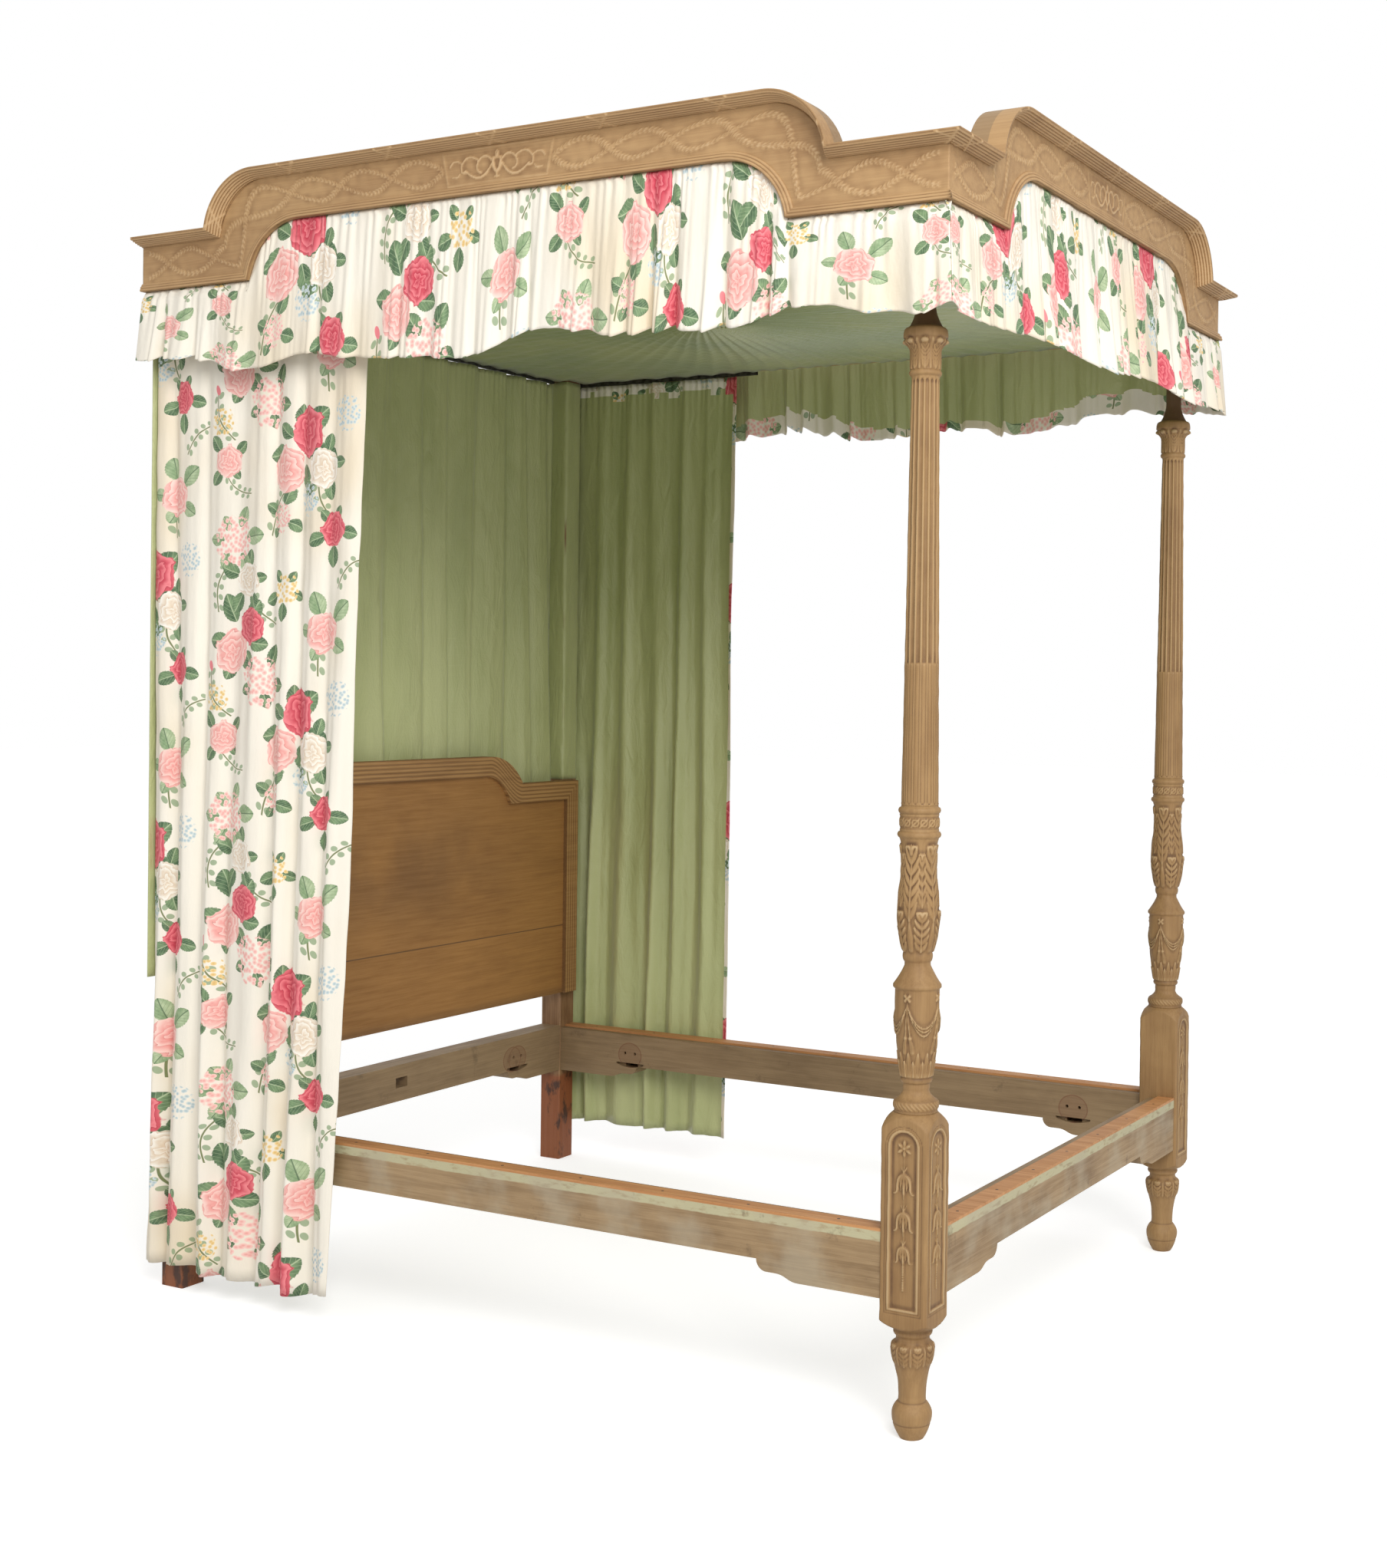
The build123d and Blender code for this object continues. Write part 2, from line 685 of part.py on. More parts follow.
def make_laths():
    long = 2 * (tester_x - tester_rail_wide + lath_lap)
    with BuildPart() as laths:
        with BuildSketch(Plane.XY.offset(tester_bottom)):
            with Locations(*[(0, y) for y in lath_places()]):
                Rectangle(long, lath_wide)
        extrude(amount=tester_rail_thick / 2)
    return laths.part


def make_post_pins():
    places = [(side * x, y) for side in (-1, 1) for x, y in ((x_foot, y_foot), (head_x, y_head))]
    with BuildPart() as pins:
        with BuildSketch(Plane.XY.offset(tester_top)):
            with Locations(*places):
                Circle(pin_dia / 2)
        extrude(amount=-tester_rail_thick - pin_in_post)
    return pins.part


# Cornice

# An edge that rises from two level shoulders over rounded corners to a level middle.
def arched_edge(start, end, middle, step, base, rise, radius):
    flat = step - sqrt(radius ** 2 - (radius - rise) ** 2)
    Line((start, base), (middle - step, base))
    RadiusArc((middle - step, base), (middle - flat, base + rise), radius)
    Line((middle - flat, base + rise), (middle + flat, base + rise))
    RadiusArc((middle + flat, base + rise), (middle + step, base), radius)
    Line((middle + step, base), (end, base))


# The two views of the cornice: where it runs from and to, its middle, and its steps.
def cornice_run(foot):
    if foot:
        return (-frieze_x - crown_out, frieze_x + crown_out, 0.0), upper_step_foot, lower_step_foot
    return (frieze_y - crown_out, cornice_end, y_middle), upper_step_side, lower_step_side


def upper_edge(foot, drop=0.0):
    run, step, _ = cornice_run(foot)
    arched_edge(*run, step, crown_top - drop, upper_rise, upper_radius)


def lower_edge(foot, raised=0.0):
    run, _, step = cornice_run(foot)
    arched_edge(*run, step, cornice_bottom + raised, lower_rise, lower_radius)


def close_band(foot, low, high):
    (start, end, _), _, _ = cornice_run(foot)
    Line((start, low), (start, high))
    Line((end, low), (end, high))


# Keeps the piece on its own side of the mitre at a foot corner of the cornice.
def cut_mitre(side, foot):
    way = -1 if foot else 1
    split(bisect_by=Plane(origin=(side * frieze_x, frieze_y, 0), z_dir=(way * side, way, 0)))


# Face plane of a frieze, its outward normal away from the bed.
def frieze_plane(side):
    if side == 0:
        return foot_view(frieze_y)
    return Plane(origin=(side * frieze_x, 0, 0), x_dir=(0, 1, 0), z_dir=(1, 0, 0))


# How far an extrusion from a frieze plane goes to reach this much outward.
def outward(side, amount):
    return amount if side >= 0 else -amount


def cut_mitres(side):
    if side == 0:
        cut_mitre(-1, True)
        cut_mitre(1, True)
    else:
        cut_mitre(side, False)


def make_cornice_board(side):
    foot = side == 0
    (start, end, middle), _, _ = cornice_run(foot)
    with BuildPart() as board:
        with BuildSketch(frieze_plane(side)):
            with BuildLine():
                upper_edge(foot)
                lower_edge(foot)
                close_band(foot, cornice_bottom, crown_top)
            make_face()
        extrude(amount=outward(side, -board_thick))
        with BuildSketch(frieze_plane(side).offset(outward(side, -board_skirt))):
            with Locations(((start + end) / 2, (cornice_bottom + tester_top) / 2)):
                Rectangle(end - start, tester_top - cornice_bottom)
        extrude(amount=outward(side, board_skirt - board_thick), mode=Mode.SUBTRACT)
        if foot:
            places = foot_screw_places()
        else:
            places = [(side * (tester_x - board_skirt / 2), y) for y in cornice_screw_y()]
        with BuildSketch(Plane.XY.offset(tester_top)):
            with Locations(*places):
                Circle(screw_dia / 2)
        extrude(amount=cornice_screw_bite, mode=Mode.SUBTRACT)
        cut_mitres(side)
    return board.part


# Sections of the two mouldings: how far out of the frieze, and how far above the swept edge.
def crown_section(up):
    with BuildLine() as outline:
        Polyline((0, -up * crown_high), (0, 0), (crown_out, 0), (crown_out, -up * crown_lip))
        SagittaArc((crown_out, -up * crown_lip), (0, -up * crown_high), up * crown_lip)
    return outline.line


def lower_section(up):
    with BuildLine() as outline:
        Polyline((lower_out, up * lower_lip), (lower_out, 0), (0, 0), (0, up * lower_high))
        SagittaArc((0, up * lower_high), (lower_out, up * lower_lip), up * lower_bow)
    return outline.line


# A moulding swept along an edge of the frieze, from the side nearest the bed's foot or left.
def make_moulding(side, edge, section_shape):
    foot = side == 0
    across = Vector(0, -1, 0) if foot else Vector(side, 0, 0)
    along = Vector(1, 0, 0) if foot else Vector(0, 1, 0)
    up = 1 if along.cross(across).Z > 0 else -1
    with BuildLine(frieze_plane(side)) as path:
        edge(foot)
    with BuildPart() as moulding:
        with BuildSketch(Plane(origin=path.line @ 0, x_dir=across, z_dir=along)):
            add(section_shape(up))
            make_face()
        sweep(path=path.line, transition=Transition.RIGHT)
        cut_mitres(side)
    return moulding.part


def make_cornice_screws():
    side_places = [(side * (tester_x - board_skirt / 2), y) for side in (-1, 1) for y in cornice_screw_y()]
    with BuildPart() as screws:
        with BuildSketch(Plane.XY.offset(tester_bottom)):
            with Locations(*side_places, *foot_screw_places()):
                Circle(screw_dia / 2)
        extrude(amount=tester_rail_thick + cornice_screw_bite)
    return screws.part


def make_corner_blocks():
    x = frieze_x - board_thick - corner_block / 2
    y = frieze_y + board_thick + corner_block / 2
    with BuildPart() as blocks:
        with BuildSketch(Plane.XY.offset(tester_top)):
            with Locations((-x, y), (x, y)):
                Rectangle(corner_block, corner_block)
        extrude(amount=corner_block_high)
        chamfer(blocks.edges().filter_by(Axis.Z), corner_block_edge)
    return blocks.part


# Hangings

# One sheet in plan: a row of folds, then a few points for a tail that hangs plain. Local x runs
# along the cloth and each fold bows to one side or the other by wave.
def folded_outline(start, end, folds, middle, wave, thick, tail=()):
    count = 2 * folds
    step = (end - start) / count
    for face, first in ((middle - thick / 2, 1), (middle + thick / 2, 1)):
        bow = wave
        for i in range(count):
            a, b = start + i * step, start + (i + 1) * step
            SagittaArc((a, face), (b, face), bow)
            bow = -bow
        points = [(start, face)] + [(x, y + face - middle) for x, y in tail]
        if tail:
            Polyline(*points)
    near, far = middle - thick / 2, middle + thick / 2
    Line((end, near), (end, far))
    if tail:
        x, y = tail[-1]
        Line((x, y - thick / 2), (x, y + thick / 2))
    else:
        Line((start, near), (start, far))


# Plans at a level, for cloth along the bed's sides or across it. On the sides local x is the
# bed's Y and local y points to its left.
def side_plan(level):
    return Plane(origin=(0, 0, level), x_dir=(0, 1, 0), z_dir=(0, 0, 1))


def end_plan(level):
    return Plane.XY.offset(level)


# Each row of a hanging is a level, its start, end, middle line and fold depth.
def hang_cloth(plan, rows, folds, thick, tail=()):
    sections = []
    for level, start, end, middle, wave in rows:
        with BuildSketch(plan(level)) as row:
            with BuildLine():
                folded_outline(start, end, folds, middle, wave, thick, tail)
            make_face()
        sections.append(row.sketch)
    return sections


# Valances hang from the cornice's lower edge and follow its arches.
def valance_bounds(z_share):
    out = valance_flare * z_share
    return out, valance_wave + (valance_wave_low - valance_wave) * z_share


def valance_rows(side):
    top = cornice_bottom + lower_rise
    rows = []
    for level in (top, cornice_bottom, valance_bottom):
        out, wave = valance_bounds((top - level) / (top - valance_bottom))
        reach = wave + valance_thick / 2 + cloth_gap
        if side == 0:
            middle = frieze_y + valance_out - out
            half = frieze_x - valance_out + out + reach
            rows.append((level, -half, half, middle, wave))
        else:
            start = frieze_y + valance_out - out + reach
            rows.append((level, start, cornice_end - valance_head_gap,
                         -side * (frieze_x - valance_out + out), wave))
    return rows


def make_valance(side):
    foot = side == 0
    folds = valance_folds_foot if foot else valance_folds_side
    (start, end, _), _, _ = cornice_run(foot)
    plan = end_plan if foot else side_plan
    with BuildPart() as valance:
        loft(hang_cloth(plan, valance_rows(side), folds, valance_thick), ruled=True)
        with BuildSketch(frieze_plane(side).offset(outward(side, 2 * crown_out))):
            with BuildLine():
                lower_edge(foot, -cloth_gap)
                Polyline((start, cornice_bottom - cloth_gap), (start, valance_bottom), (end, valance_bottom),
                         (end, cornice_bottom - cloth_gap))
            make_face()
        extrude(amount=outward(side, -4 * crown_out), mode=Mode.INTERSECT)
    return valance.part


def curtain_hem(side):
    return curtain_hem_left if side < 0 else curtain_hem_right


def curtain_rows(side):
    hem = curtain_hem(side)
    edge_low = curtain_edge_left if side < 0 else curtain_edge_right
    rows = []
    for level, swing, wave in ((curtain_top, 0.0, curtain_wave), (curtain_straight, 0.0, curtain_wave),
                               (curtain_mid, curtain_swing_mid, curtain_wave_mid),
                               (hem, curtain_swing_low, curtain_wave_low)):
        share = (curtain_top - level) / (curtain_top - hem)
        start = y_head - curtain_edge_top + (curtain_edge_top - edge_low) * share
        rows.append((level, start, y_head + curtain_past_head_post, -side * (track_x + swing), wave))
    return rows


def make_curtain(side):
    with BuildPart() as curtain:
        loft(hang_cloth(side_plan, curtain_rows(side), curtain_folds, curtain_thick), ruled=True)
    return curtain.part


# The head cloth's left end swings out behind the head post.
def make_head_cloth():
    inner = head_x - head_post / 2
    right = inner - sleeve_gap - sleeve_thick - cloth_gap
    left = head_cloth_tail - inner
    behind = y_head + head_post / 2 + sleeve_thick + head_cloth_thick
    tail = [(-inner + head_cloth_bend, behind), (-head_x, behind + head_cloth_lean),
            (-track_x - head_cloth_past_track, behind + head_cloth_swing)]
    rows = ((curtain_top, left, right, head_track_y, head_cloth_wave),
            (head_cloth_hem, left, right, head_track_y, head_cloth_wave_low))
    with BuildPart() as cloth:
        loft(hang_cloth(end_plan, rows, head_cloth_folds, head_cloth_thick, tail), ruled=True)
    return cloth.part


def make_sleeve(side):
    inner = head_post + 2 * sleeve_gap
    low = headboard_shoulder + sleeve_above_headboard
    with BuildPart() as sleeve:
        with BuildSketch(Plane(origin=(side * head_x, y_head, low))):
            Rectangle(inner + 2 * sleeve_thick, inner + 2 * sleeve_thick)
            Rectangle(inner, inner, mode=Mode.SUBTRACT)
        extrude(amount=tester_bottom - sleeve_below_tester - low)
    return sleeve.part


# Lining under the tester, with radial pleats round a rosette, cut out round the four posts.
def make_lining():
    half_x = track_x - track / 2 - lining_short_of_track
    first = tester_y + lining_short_of_track
    last = head_track_y - track / 2 - cloth_gap
    reach = hypot(half_x, last - y_middle) + pleat_past_corner
    half_step = radians(90.0 / pleat_count)
    post_hole = head_post + 2 * (sleeve_gap + sleeve_thick + cloth_gap)
    with BuildPart() as lining:
        with BuildSketch(Plane.XY.offset(tester_bottom - lining_thick)):
            with Locations((0, (first + last) / 2)):
                Rectangle(2 * half_x, last - first)
        extrude(amount=lining_thick)
        with BuildSketch(Plane.XY.offset(tester_bottom - lining_thick)) as pleats:
            with Locations((0, y_middle)):
                with PolarLocations(0, pleat_count):
                    Polygon((rosette_radius, -rosette_radius * tan(half_step)),
                            (reach, -reach * tan(half_step)), (reach, reach * tan(half_step)),
                            (rosette_radius, rosette_radius * tan(half_step)), align=None)
            with Locations((0, (first + last) / 2)):
                Rectangle(2 * half_x, last - first, mode=Mode.INTERSECT)
        extrude(amount=-pleat_high)
        with BuildSketch(Plane.XY.offset(tester_bottom)):
            with Locations((-x_foot, y_foot), (x_foot, y_foot)):
                Circle(stub_radius + stub_gap)
            with Locations((-head_x, y_head), (head_x, y_head)):
                Rectangle(post_hole, post_hole)
        extrude(amount=-lining_thick - pleat_high, mode=Mode.SUBTRACT)
    return lining.part


def make_rosette():
    top = tester_bottom - lining_thick
    low, edge = top - rosette_thick - rosette_button_high, rosette_radius - rosette_short
    with BuildPart() as rosette:
        with BuildSketch(foot_view(y_middle)):
            with BuildLine():
                Polyline((edge, top), (0, top), (0, low))
                SagittaArc((0, low), (rosette_button, top - rosette_thick), -rosette_button_bow)
                SagittaArc((rosette_button, top - rosette_thick), (edge, top), -rosette_bow)
            make_face()
        revolve(axis=Axis((0, y_middle, 0), (0, 0, 1)))
    return rosette.part


# Tracks and gliders
def make_track(middle, along_x, length):
    size = (length, track) if along_x else (track, length)
    bore = (length, track - 2 * track_wall) if along_x else (track - 2 * track_wall, length)
    slot = (length, track_slot) if along_x else (track_slot, length)
    with BuildPart() as channel:
        with BuildSketch(Plane(origin=(*middle, track_bottom))):
            Rectangle(*size)
        extrude(amount=track)
        with BuildSketch(Plane(origin=(*middle, track_bottom + track_wall))):
            Rectangle(*bore)
        extrude(amount=track - 2 * track_wall, mode=Mode.SUBTRACT)
        with BuildSketch(Plane(origin=(*middle, track_bottom))):
            Rectangle(*slot)
        extrude(amount=track_wall, mode=Mode.SUBTRACT)
    return channel.part


def side_track_span():
    start = y_head - curtain_edge_top - curtain_travel - track_past_curtain
    return start, y_head + curtain_past_head_post + track_past_curtain


def make_side_track(side):
    start, end = side_track_span()
    return make_track((side * track_x, (start + end) / 2), False, end - start)


def make_head_track():
    return make_track((0, head_track_y), True, 2 * (head_x - head_post / 2 - head_track_short))


# Gliders hang in a track's slot and reach down to the cloth's heading.
def make_gliders(places):
    rest = track_bottom + track_wall + glider_gap
    with BuildPart() as gliders:
        with BuildSketch(Plane.XY.offset(rest)):
            with Locations(*places):
                Circle(glider_head / 2)
        extrude(amount=glider_thick)
        with BuildSketch(Plane.XY.offset(curtain_top)):
            with Locations(*places):
                Circle(glider_shank / 2)
        extrude(amount=rest - curtain_top)
    return gliders.part


# Along a heading, the cloth crosses its track's line at every fold's start.
def glider_places(start, end, folds, count):
    step = (end - start) / (2 * folds)
    chosen = [1 + round(i * (2 * folds - 2) / (count - 1)) for i in range(count)]
    return [start + step * i for i in chosen]


def make_side_gliders(side):
    _, start, end, _, _ = curtain_rows(side)[0]
    return make_gliders([(side * track_x, y) for y in glider_places(start, end, curtain_folds, gliders_side)])


def make_head_gliders():
    inner = head_x - head_post / 2
    start, end = head_cloth_tail - inner, inner - sleeve_gap - sleeve_thick - cloth_gap
    return make_gliders([(x, head_track_y) for x in glider_places(start, end, head_cloth_folds,
                                                                  gliders_head)])


# All the pieces
sides = {"left": -1, "right": 1}
for word, sign in sides.items():
    keep(make_foot_post(sign), f"foot_post_{word}")
    keep(make_head_post(sign), f"head_post_{word}")
    keep(make_side_rail(sign), f"side_rail_{word}")
    keep(make_side_strip(sign), f"rail_strip_{word}")
    keep(make_tester_side_rail(sign), f"tester_side_rail_{word}")
    keep(make_curtain(sign), f"curtain_{word}")
    keep(make_sleeve(sign), f"post_sleeve_{word}")
    keep(make_side_track(sign), f"curtain_track_{word}")
    keep(make_side_gliders(sign), f"curtain_hooks_{word}")
for word, sign in {**sides, "foot": 0}.items():
    keep(make_cornice_board(sign), f"cornice_board_{word}")
    keep(make_moulding(sign, upper_edge, crown_section), f"crown_moulding_{word}")
    keep(make_moulding(sign, lower_edge, lower_section), f"lower_moulding_{word}")
    keep(make_valance(sign), f"valance_{word}")
keep(make_foot_rail(), "foot_rail")
keep(make_head_rail(), "head_rail")
keep(make_foot_strip(), "rail_strip_foot")
keep(make_nails(), "strip_nails")
keep(make_bolts(), "bed_bolts")
keep(make_nuts(), "bolt_nuts")
keep(make_headboard_board(headboard_bottom, headboard_joint), "headboard_lower_board")
keep(make_headboard_board(headboard_joint, headboard_top), "headboard_upper_board")
keep(make_headboard_moulding(), "headboard_moulding")
keep(make_battens(), "headboard_battens")
keep(make_headboard_screws(), "headboard_screws")
keep(make_tester_end_rail(tester_y + tester_rail_wide / 2, foot_screw_places()), "tester_foot_rail")
keep(make_tester_end_rail(y_head), "tester_head_rail")
keep(make_laths(), "tester_laths")
keep(make_post_pins(), "post_pins")
keep(make_corner_blocks(), "corner_blocks")
keep(make_cornice_screws(), "cornice_screws")
keep(make_lining(), "tester_lining")
keep(make_rosette(), "tester_rosette")
keep(make_head_cloth(), "head_cloth")
keep(make_head_track(), "curtain_track_head")
keep(make_head_gliders(), "curtain_hooks_head")
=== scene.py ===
import json
import math
import bpy
import numpy as np
from mathutils import Matrix, Vector

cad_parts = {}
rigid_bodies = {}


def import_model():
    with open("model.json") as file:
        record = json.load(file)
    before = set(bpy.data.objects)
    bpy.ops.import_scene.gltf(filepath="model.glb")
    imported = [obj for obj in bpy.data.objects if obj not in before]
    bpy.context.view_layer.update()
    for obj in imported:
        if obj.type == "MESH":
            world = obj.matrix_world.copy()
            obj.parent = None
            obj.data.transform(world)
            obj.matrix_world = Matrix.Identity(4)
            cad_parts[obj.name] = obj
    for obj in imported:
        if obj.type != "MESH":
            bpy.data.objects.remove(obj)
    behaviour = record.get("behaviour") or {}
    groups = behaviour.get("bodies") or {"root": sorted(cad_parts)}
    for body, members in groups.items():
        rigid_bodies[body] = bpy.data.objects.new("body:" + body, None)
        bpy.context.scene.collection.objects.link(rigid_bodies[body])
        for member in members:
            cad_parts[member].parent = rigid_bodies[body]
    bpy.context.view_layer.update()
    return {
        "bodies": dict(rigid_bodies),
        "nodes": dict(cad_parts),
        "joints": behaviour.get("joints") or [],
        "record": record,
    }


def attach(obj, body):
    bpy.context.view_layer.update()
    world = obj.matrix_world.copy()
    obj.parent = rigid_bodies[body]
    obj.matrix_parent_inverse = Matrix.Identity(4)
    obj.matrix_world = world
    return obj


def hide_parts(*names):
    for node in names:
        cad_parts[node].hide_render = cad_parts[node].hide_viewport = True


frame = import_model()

tau = 2 * math.pi
mm = 0.001


# Small helpers for shapes

def smooth(low, high, x):
    # 0 below low, 1 above high, 3t^2 - 2t^3 between
    t = np.clip((x - low) / (high - low), 0, 1)
    return t * t * (3 - 2 * t)


def bell(x, middle, width):
    # exp(-((x - middle) / width)^2)
    return np.exp(-((x - middle) / width) ** 2)


def dome(d, half):
    # a round-topped ridge: sqrt(1 - (d / half)^2) inside half, 0 outside
    return np.sqrt(np.clip(1 - (d / half) ** 2, 0, None))


def unevenness(seed, x, y, wave, terms=6):
    # sum of sines in random directions, about -1 to 1: the slow irregularity of handwork and cloth
    rng = np.random.default_rng(seed)
    total = 0.0
    for _ in range(terms):
        angle, phase, stretch = rng.uniform(0, tau), rng.uniform(0, tau), rng.uniform(0.6, 1.8)
        total = total + np.sin((x * math.cos(angle) + y * math.sin(angle)) * tau * stretch / wave + phase)
    return total / math.sqrt(terms)


def wrapped(theta, count, turn=0.0):
    # angle within one of count equal repeats, from -0.5 to 0.5
    return (theta / tau * count + turn) % 1.0 - 0.5


# Meshes from whole arrays

def gridQuads(rows, columns, closeRows=False, closeColumns=False, first=0):
    # quads between neighbouring points of a rows x columns grid whose vertices start at first
    i = np.arange(rows if closeRows else rows - 1)[:, None]
    j = np.arange(columns if closeColumns else columns - 1)[None, :]
    i2, j2 = (i + 1) % rows, (j + 1) % columns
    quads = np.stack([i * columns + j, i * columns + j2, i2 * columns + j2, i2 * columns + j], axis=-1)
    return quads.reshape(-1, 4) + first


def makePiece(name, points, quads, materials, uv=None, relief=None, kind=None, caps=(), sharp=None):
    # one closed mesh from points (n, 3) in metres and quads (m, 4); caps are rings closed by one face
    # each. Its volume, a sixth of the sum of a . (b x c) over its triangles, says if it is inside out.
    points = np.ascontiguousarray(points.reshape(-1, 3), dtype=np.float32)
    corners = [quads[:, [0, 1, 2]], quads[:, [0, 2, 3]]]
    corners += [np.array([[c[0], c[k], c[k + 1]] for k in range(1, len(c) - 1)]) for c in caps]
    a, b, c = (points[np.concatenate(corners)[:, k]].astype(float) - points.mean(0) for k in range(3))
    if np.einsum("ij,ij->", a, np.cross(b, c)) < 0:
        quads, caps = quads[:, ::-1], [ring[::-1] for ring in caps]
    sizes = np.concatenate([np.full(len(quads), 4), [len(c) for c in caps]]).astype(np.int32)
    loops = np.concatenate([quads.ravel(), *[np.asarray(c) for c in caps]]).astype(np.int32)
    mesh = bpy.data.meshes.new(name)
    mesh.vertices.add(len(points))
    mesh.vertices.foreach_set("co", points.ravel())
    mesh.loops.add(len(loops))
    mesh.loops.foreach_set("vertex_index", loops)
    mesh.polygons.add(len(sizes))
    mesh.polygons.foreach_set("loop_start", np.concatenate([[0], np.cumsum(sizes)[:-1]]).astype(np.int32))
    mesh.polygons.foreach_set("loop_total", sizes)
    mesh.polygons.foreach_set("use_smooth", np.ones(len(sizes), bool))
    if uv is not None:
        layer = mesh.uv_layers.new(name="cloth")
        layer.data.foreach_set("uv", uv.reshape(-1, 2)[loops].astype(np.float32).ravel())
    if relief is not None:
        layer = mesh.attributes.new("relief", "FLOAT", "POINT")
        layer.data.foreach_set("value", np.ascontiguousarray(relief.ravel(), dtype=np.float32))
    for m in materials:
        mesh.materials.append(m)
    if kind is not None:
        full = np.concatenate([kind, np.zeros(len(caps))]).astype(np.int32)
        mesh.polygons.foreach_set("material_index", full)
    mesh.update(calc_edges=True)
    mesh.validate()
    if sharp is not None:
        mesh.set_sharp_from_angle(angle=math.radians(sharp))
    piece = bpy.data.objects.new(name, mesh)
    bpy.context.scene.collection.objects.link(piece)
    return piece


def finishPiece(piece, body, slotName, *nodes):
    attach(piece, body)
    if nodes:
        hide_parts(*nodes)
    return piece


def outwardNormals(points):
    # unit normals of a grid of points: along a row crossed with along a column, as its faces turn
    n = np.cross(np.gradient(points, axis=1), np.gradient(points, axis=0))
    return n / np.maximum(np.linalg.norm(n, axis=-1, keepdims=True), 1e-12)


def twoLayers(face, thick):
    # a sheet with a front and a back thick apart, joined round its rim:
    # front = face + n * thick / 2, back = face - n * thick / 2
    rows, columns = face.shape[:2]
    n = outwardNormals(face) * thick / 2
    points = np.concatenate([(face + n).reshape(-1, 3), (face - n).reshape(-1, 3)])
    front = gridQuads(rows, columns)
    back = front[:, ::-1] + rows * columns
    index = np.arange(rows * columns).reshape(rows, columns)
    rim = np.concatenate([index[0, :-1], index[:-1, -1], index[-1, :0:-1], index[:0:-1, 0]])
    after = np.roll(rim, -1)
    edge = np.stack([after, rim, rim + rows * columns, after + rows * columns], axis=-1)
    kind = np.concatenate([np.zeros(len(front)), np.ones(len(back)), np.full(len(edge), 2)])
    return points, np.concatenate([front, back, edge]), kind


# Shader helpers

def newMaterial(name):
    m = bpy.data.materials.new(name)
    m.use_nodes = True
    m.node_tree.nodes.clear()
    return m, m.node_tree


def addNode(tree, kind, inputs=None, **settings):
    node = tree.nodes.new(kind)
    for key, value in settings.items():
        setattr(node, key, value)
    for key, value in (inputs or {}).items():
        socket = node.inputs[key]
        if isinstance(value, bpy.types.NodeSocket):
            tree.links.new(value, socket)
        else:
            socket.default_value = value
    return node


def calc(tree, operation, a, b=0.0, c=0.0, clamp=False):
    node = tree.nodes.new("ShaderNodeMath")
    node.operation = operation
    node.use_clamp = clamp
    for socket, value in zip(node.inputs, (a, b, c)):
        if isinstance(value, bpy.types.NodeSocket):
            tree.links.new(value, socket)
        else:
            socket.default_value = value
    return node.outputs[0]


def times(tree, a, b, clamp=False):
    return calc(tree, "MULTIPLY", a, b, clamp=clamp)


def plus(tree, a, b, clamp=False):
    return calc(tree, "ADD", a, b, clamp=clamp)


def minus(tree, a, b, clamp=False):
    return calc(tree, "SUBTRACT", a, b, clamp=clamp)


def divided(tree, a, b, clamp=False):
    return calc(tree, "DIVIDE", a, b, clamp=clamp)


def axes(tree, vector):
    return addNode(tree, "ShaderNodeSeparateXYZ", {"Vector": vector}).outputs


def blendColor(tree, share, a, b, how="MIX"):
    node = tree.nodes.new("ShaderNodeMix")
    node.data_type = "RGBA"
    node.blend_type = how
    for key, value in (("Factor", share), ("A", a), ("B", b)):
        socket = [s for s in node.inputs
                  if s.name == key and s.enabled and (key == "Factor") == (s.type == "VALUE")][0]
        if isinstance(value, bpy.types.NodeSocket):
            tree.links.new(value, socket)
        elif key == "Factor":
            socket.default_value = value
        else:
            socket.default_value = (*value, 1.0)
    return [s for s in node.outputs if s.type == "RGBA"][0]


def ramp(tree, value, low, high, toLow=0.0, toHigh=1.0):
    node = tree.nodes.new("ShaderNodeMapRange")
    node.interpolation_type = "SMOOTHSTEP"
    for key, v in (("Value", value), ("From Min", low), ("From Max", high), ("To Min", toLow),
                   ("To Max", toHigh)):
        socket = node.inputs[key]
        if isinstance(v, bpy.types.NodeSocket):
            tree.links.new(v, socket)
        else:
            socket.default_value = v
    return node.outputs[0]


def noise(tree, vector, scale, detail=3.0, rough=0.55, distort=0.0):
    node = addNode(tree, "ShaderNodeTexNoise", {"Vector": vector, "Scale": scale, "Detail": detail,
                                                "Roughness": rough, "Distortion": distort})
    return node.outputs["Fac"]


def stretched(tree, vector, scale, turn=(0, 0, 0), shift=(0, 0, 0)):
    node = addNode(tree, "ShaderNodeMapping", {"Vector": vector, "Scale": scale, "Rotation": turn,
                                               "Location": shift})
    return node.outputs[0]


def objectPlace(tree):
    return tree.nodes.new("ShaderNodeTexCoord").outputs["Object"]


def clothPlace(tree):
    node = tree.nodes.new("ShaderNodeUVMap")
    node.uv_map = "cloth"
    return node.outputs[0]


def newGroup(name, inputs, outputs):
    group = bpy.data.node_groups.new(name, "ShaderNodeTree")
    kinds = {"vector": "NodeSocketVector", "value": "NodeSocketFloat", "color": "NodeSocketColor"}
    for label, kind, value in inputs:
        socket = group.interface.new_socket(label, in_out="INPUT", socket_type=kinds[kind])
        if value is not None:
            socket.default_value = (*value, 1.0) if kind == "color" else value
    for label, kind in outputs:
        group.interface.new_socket(label, in_out="OUTPUT", socket_type=kinds[kind])
    return group, group.nodes.new("NodeGroupInput").outputs, group.nodes.new("NodeGroupOutput").inputs


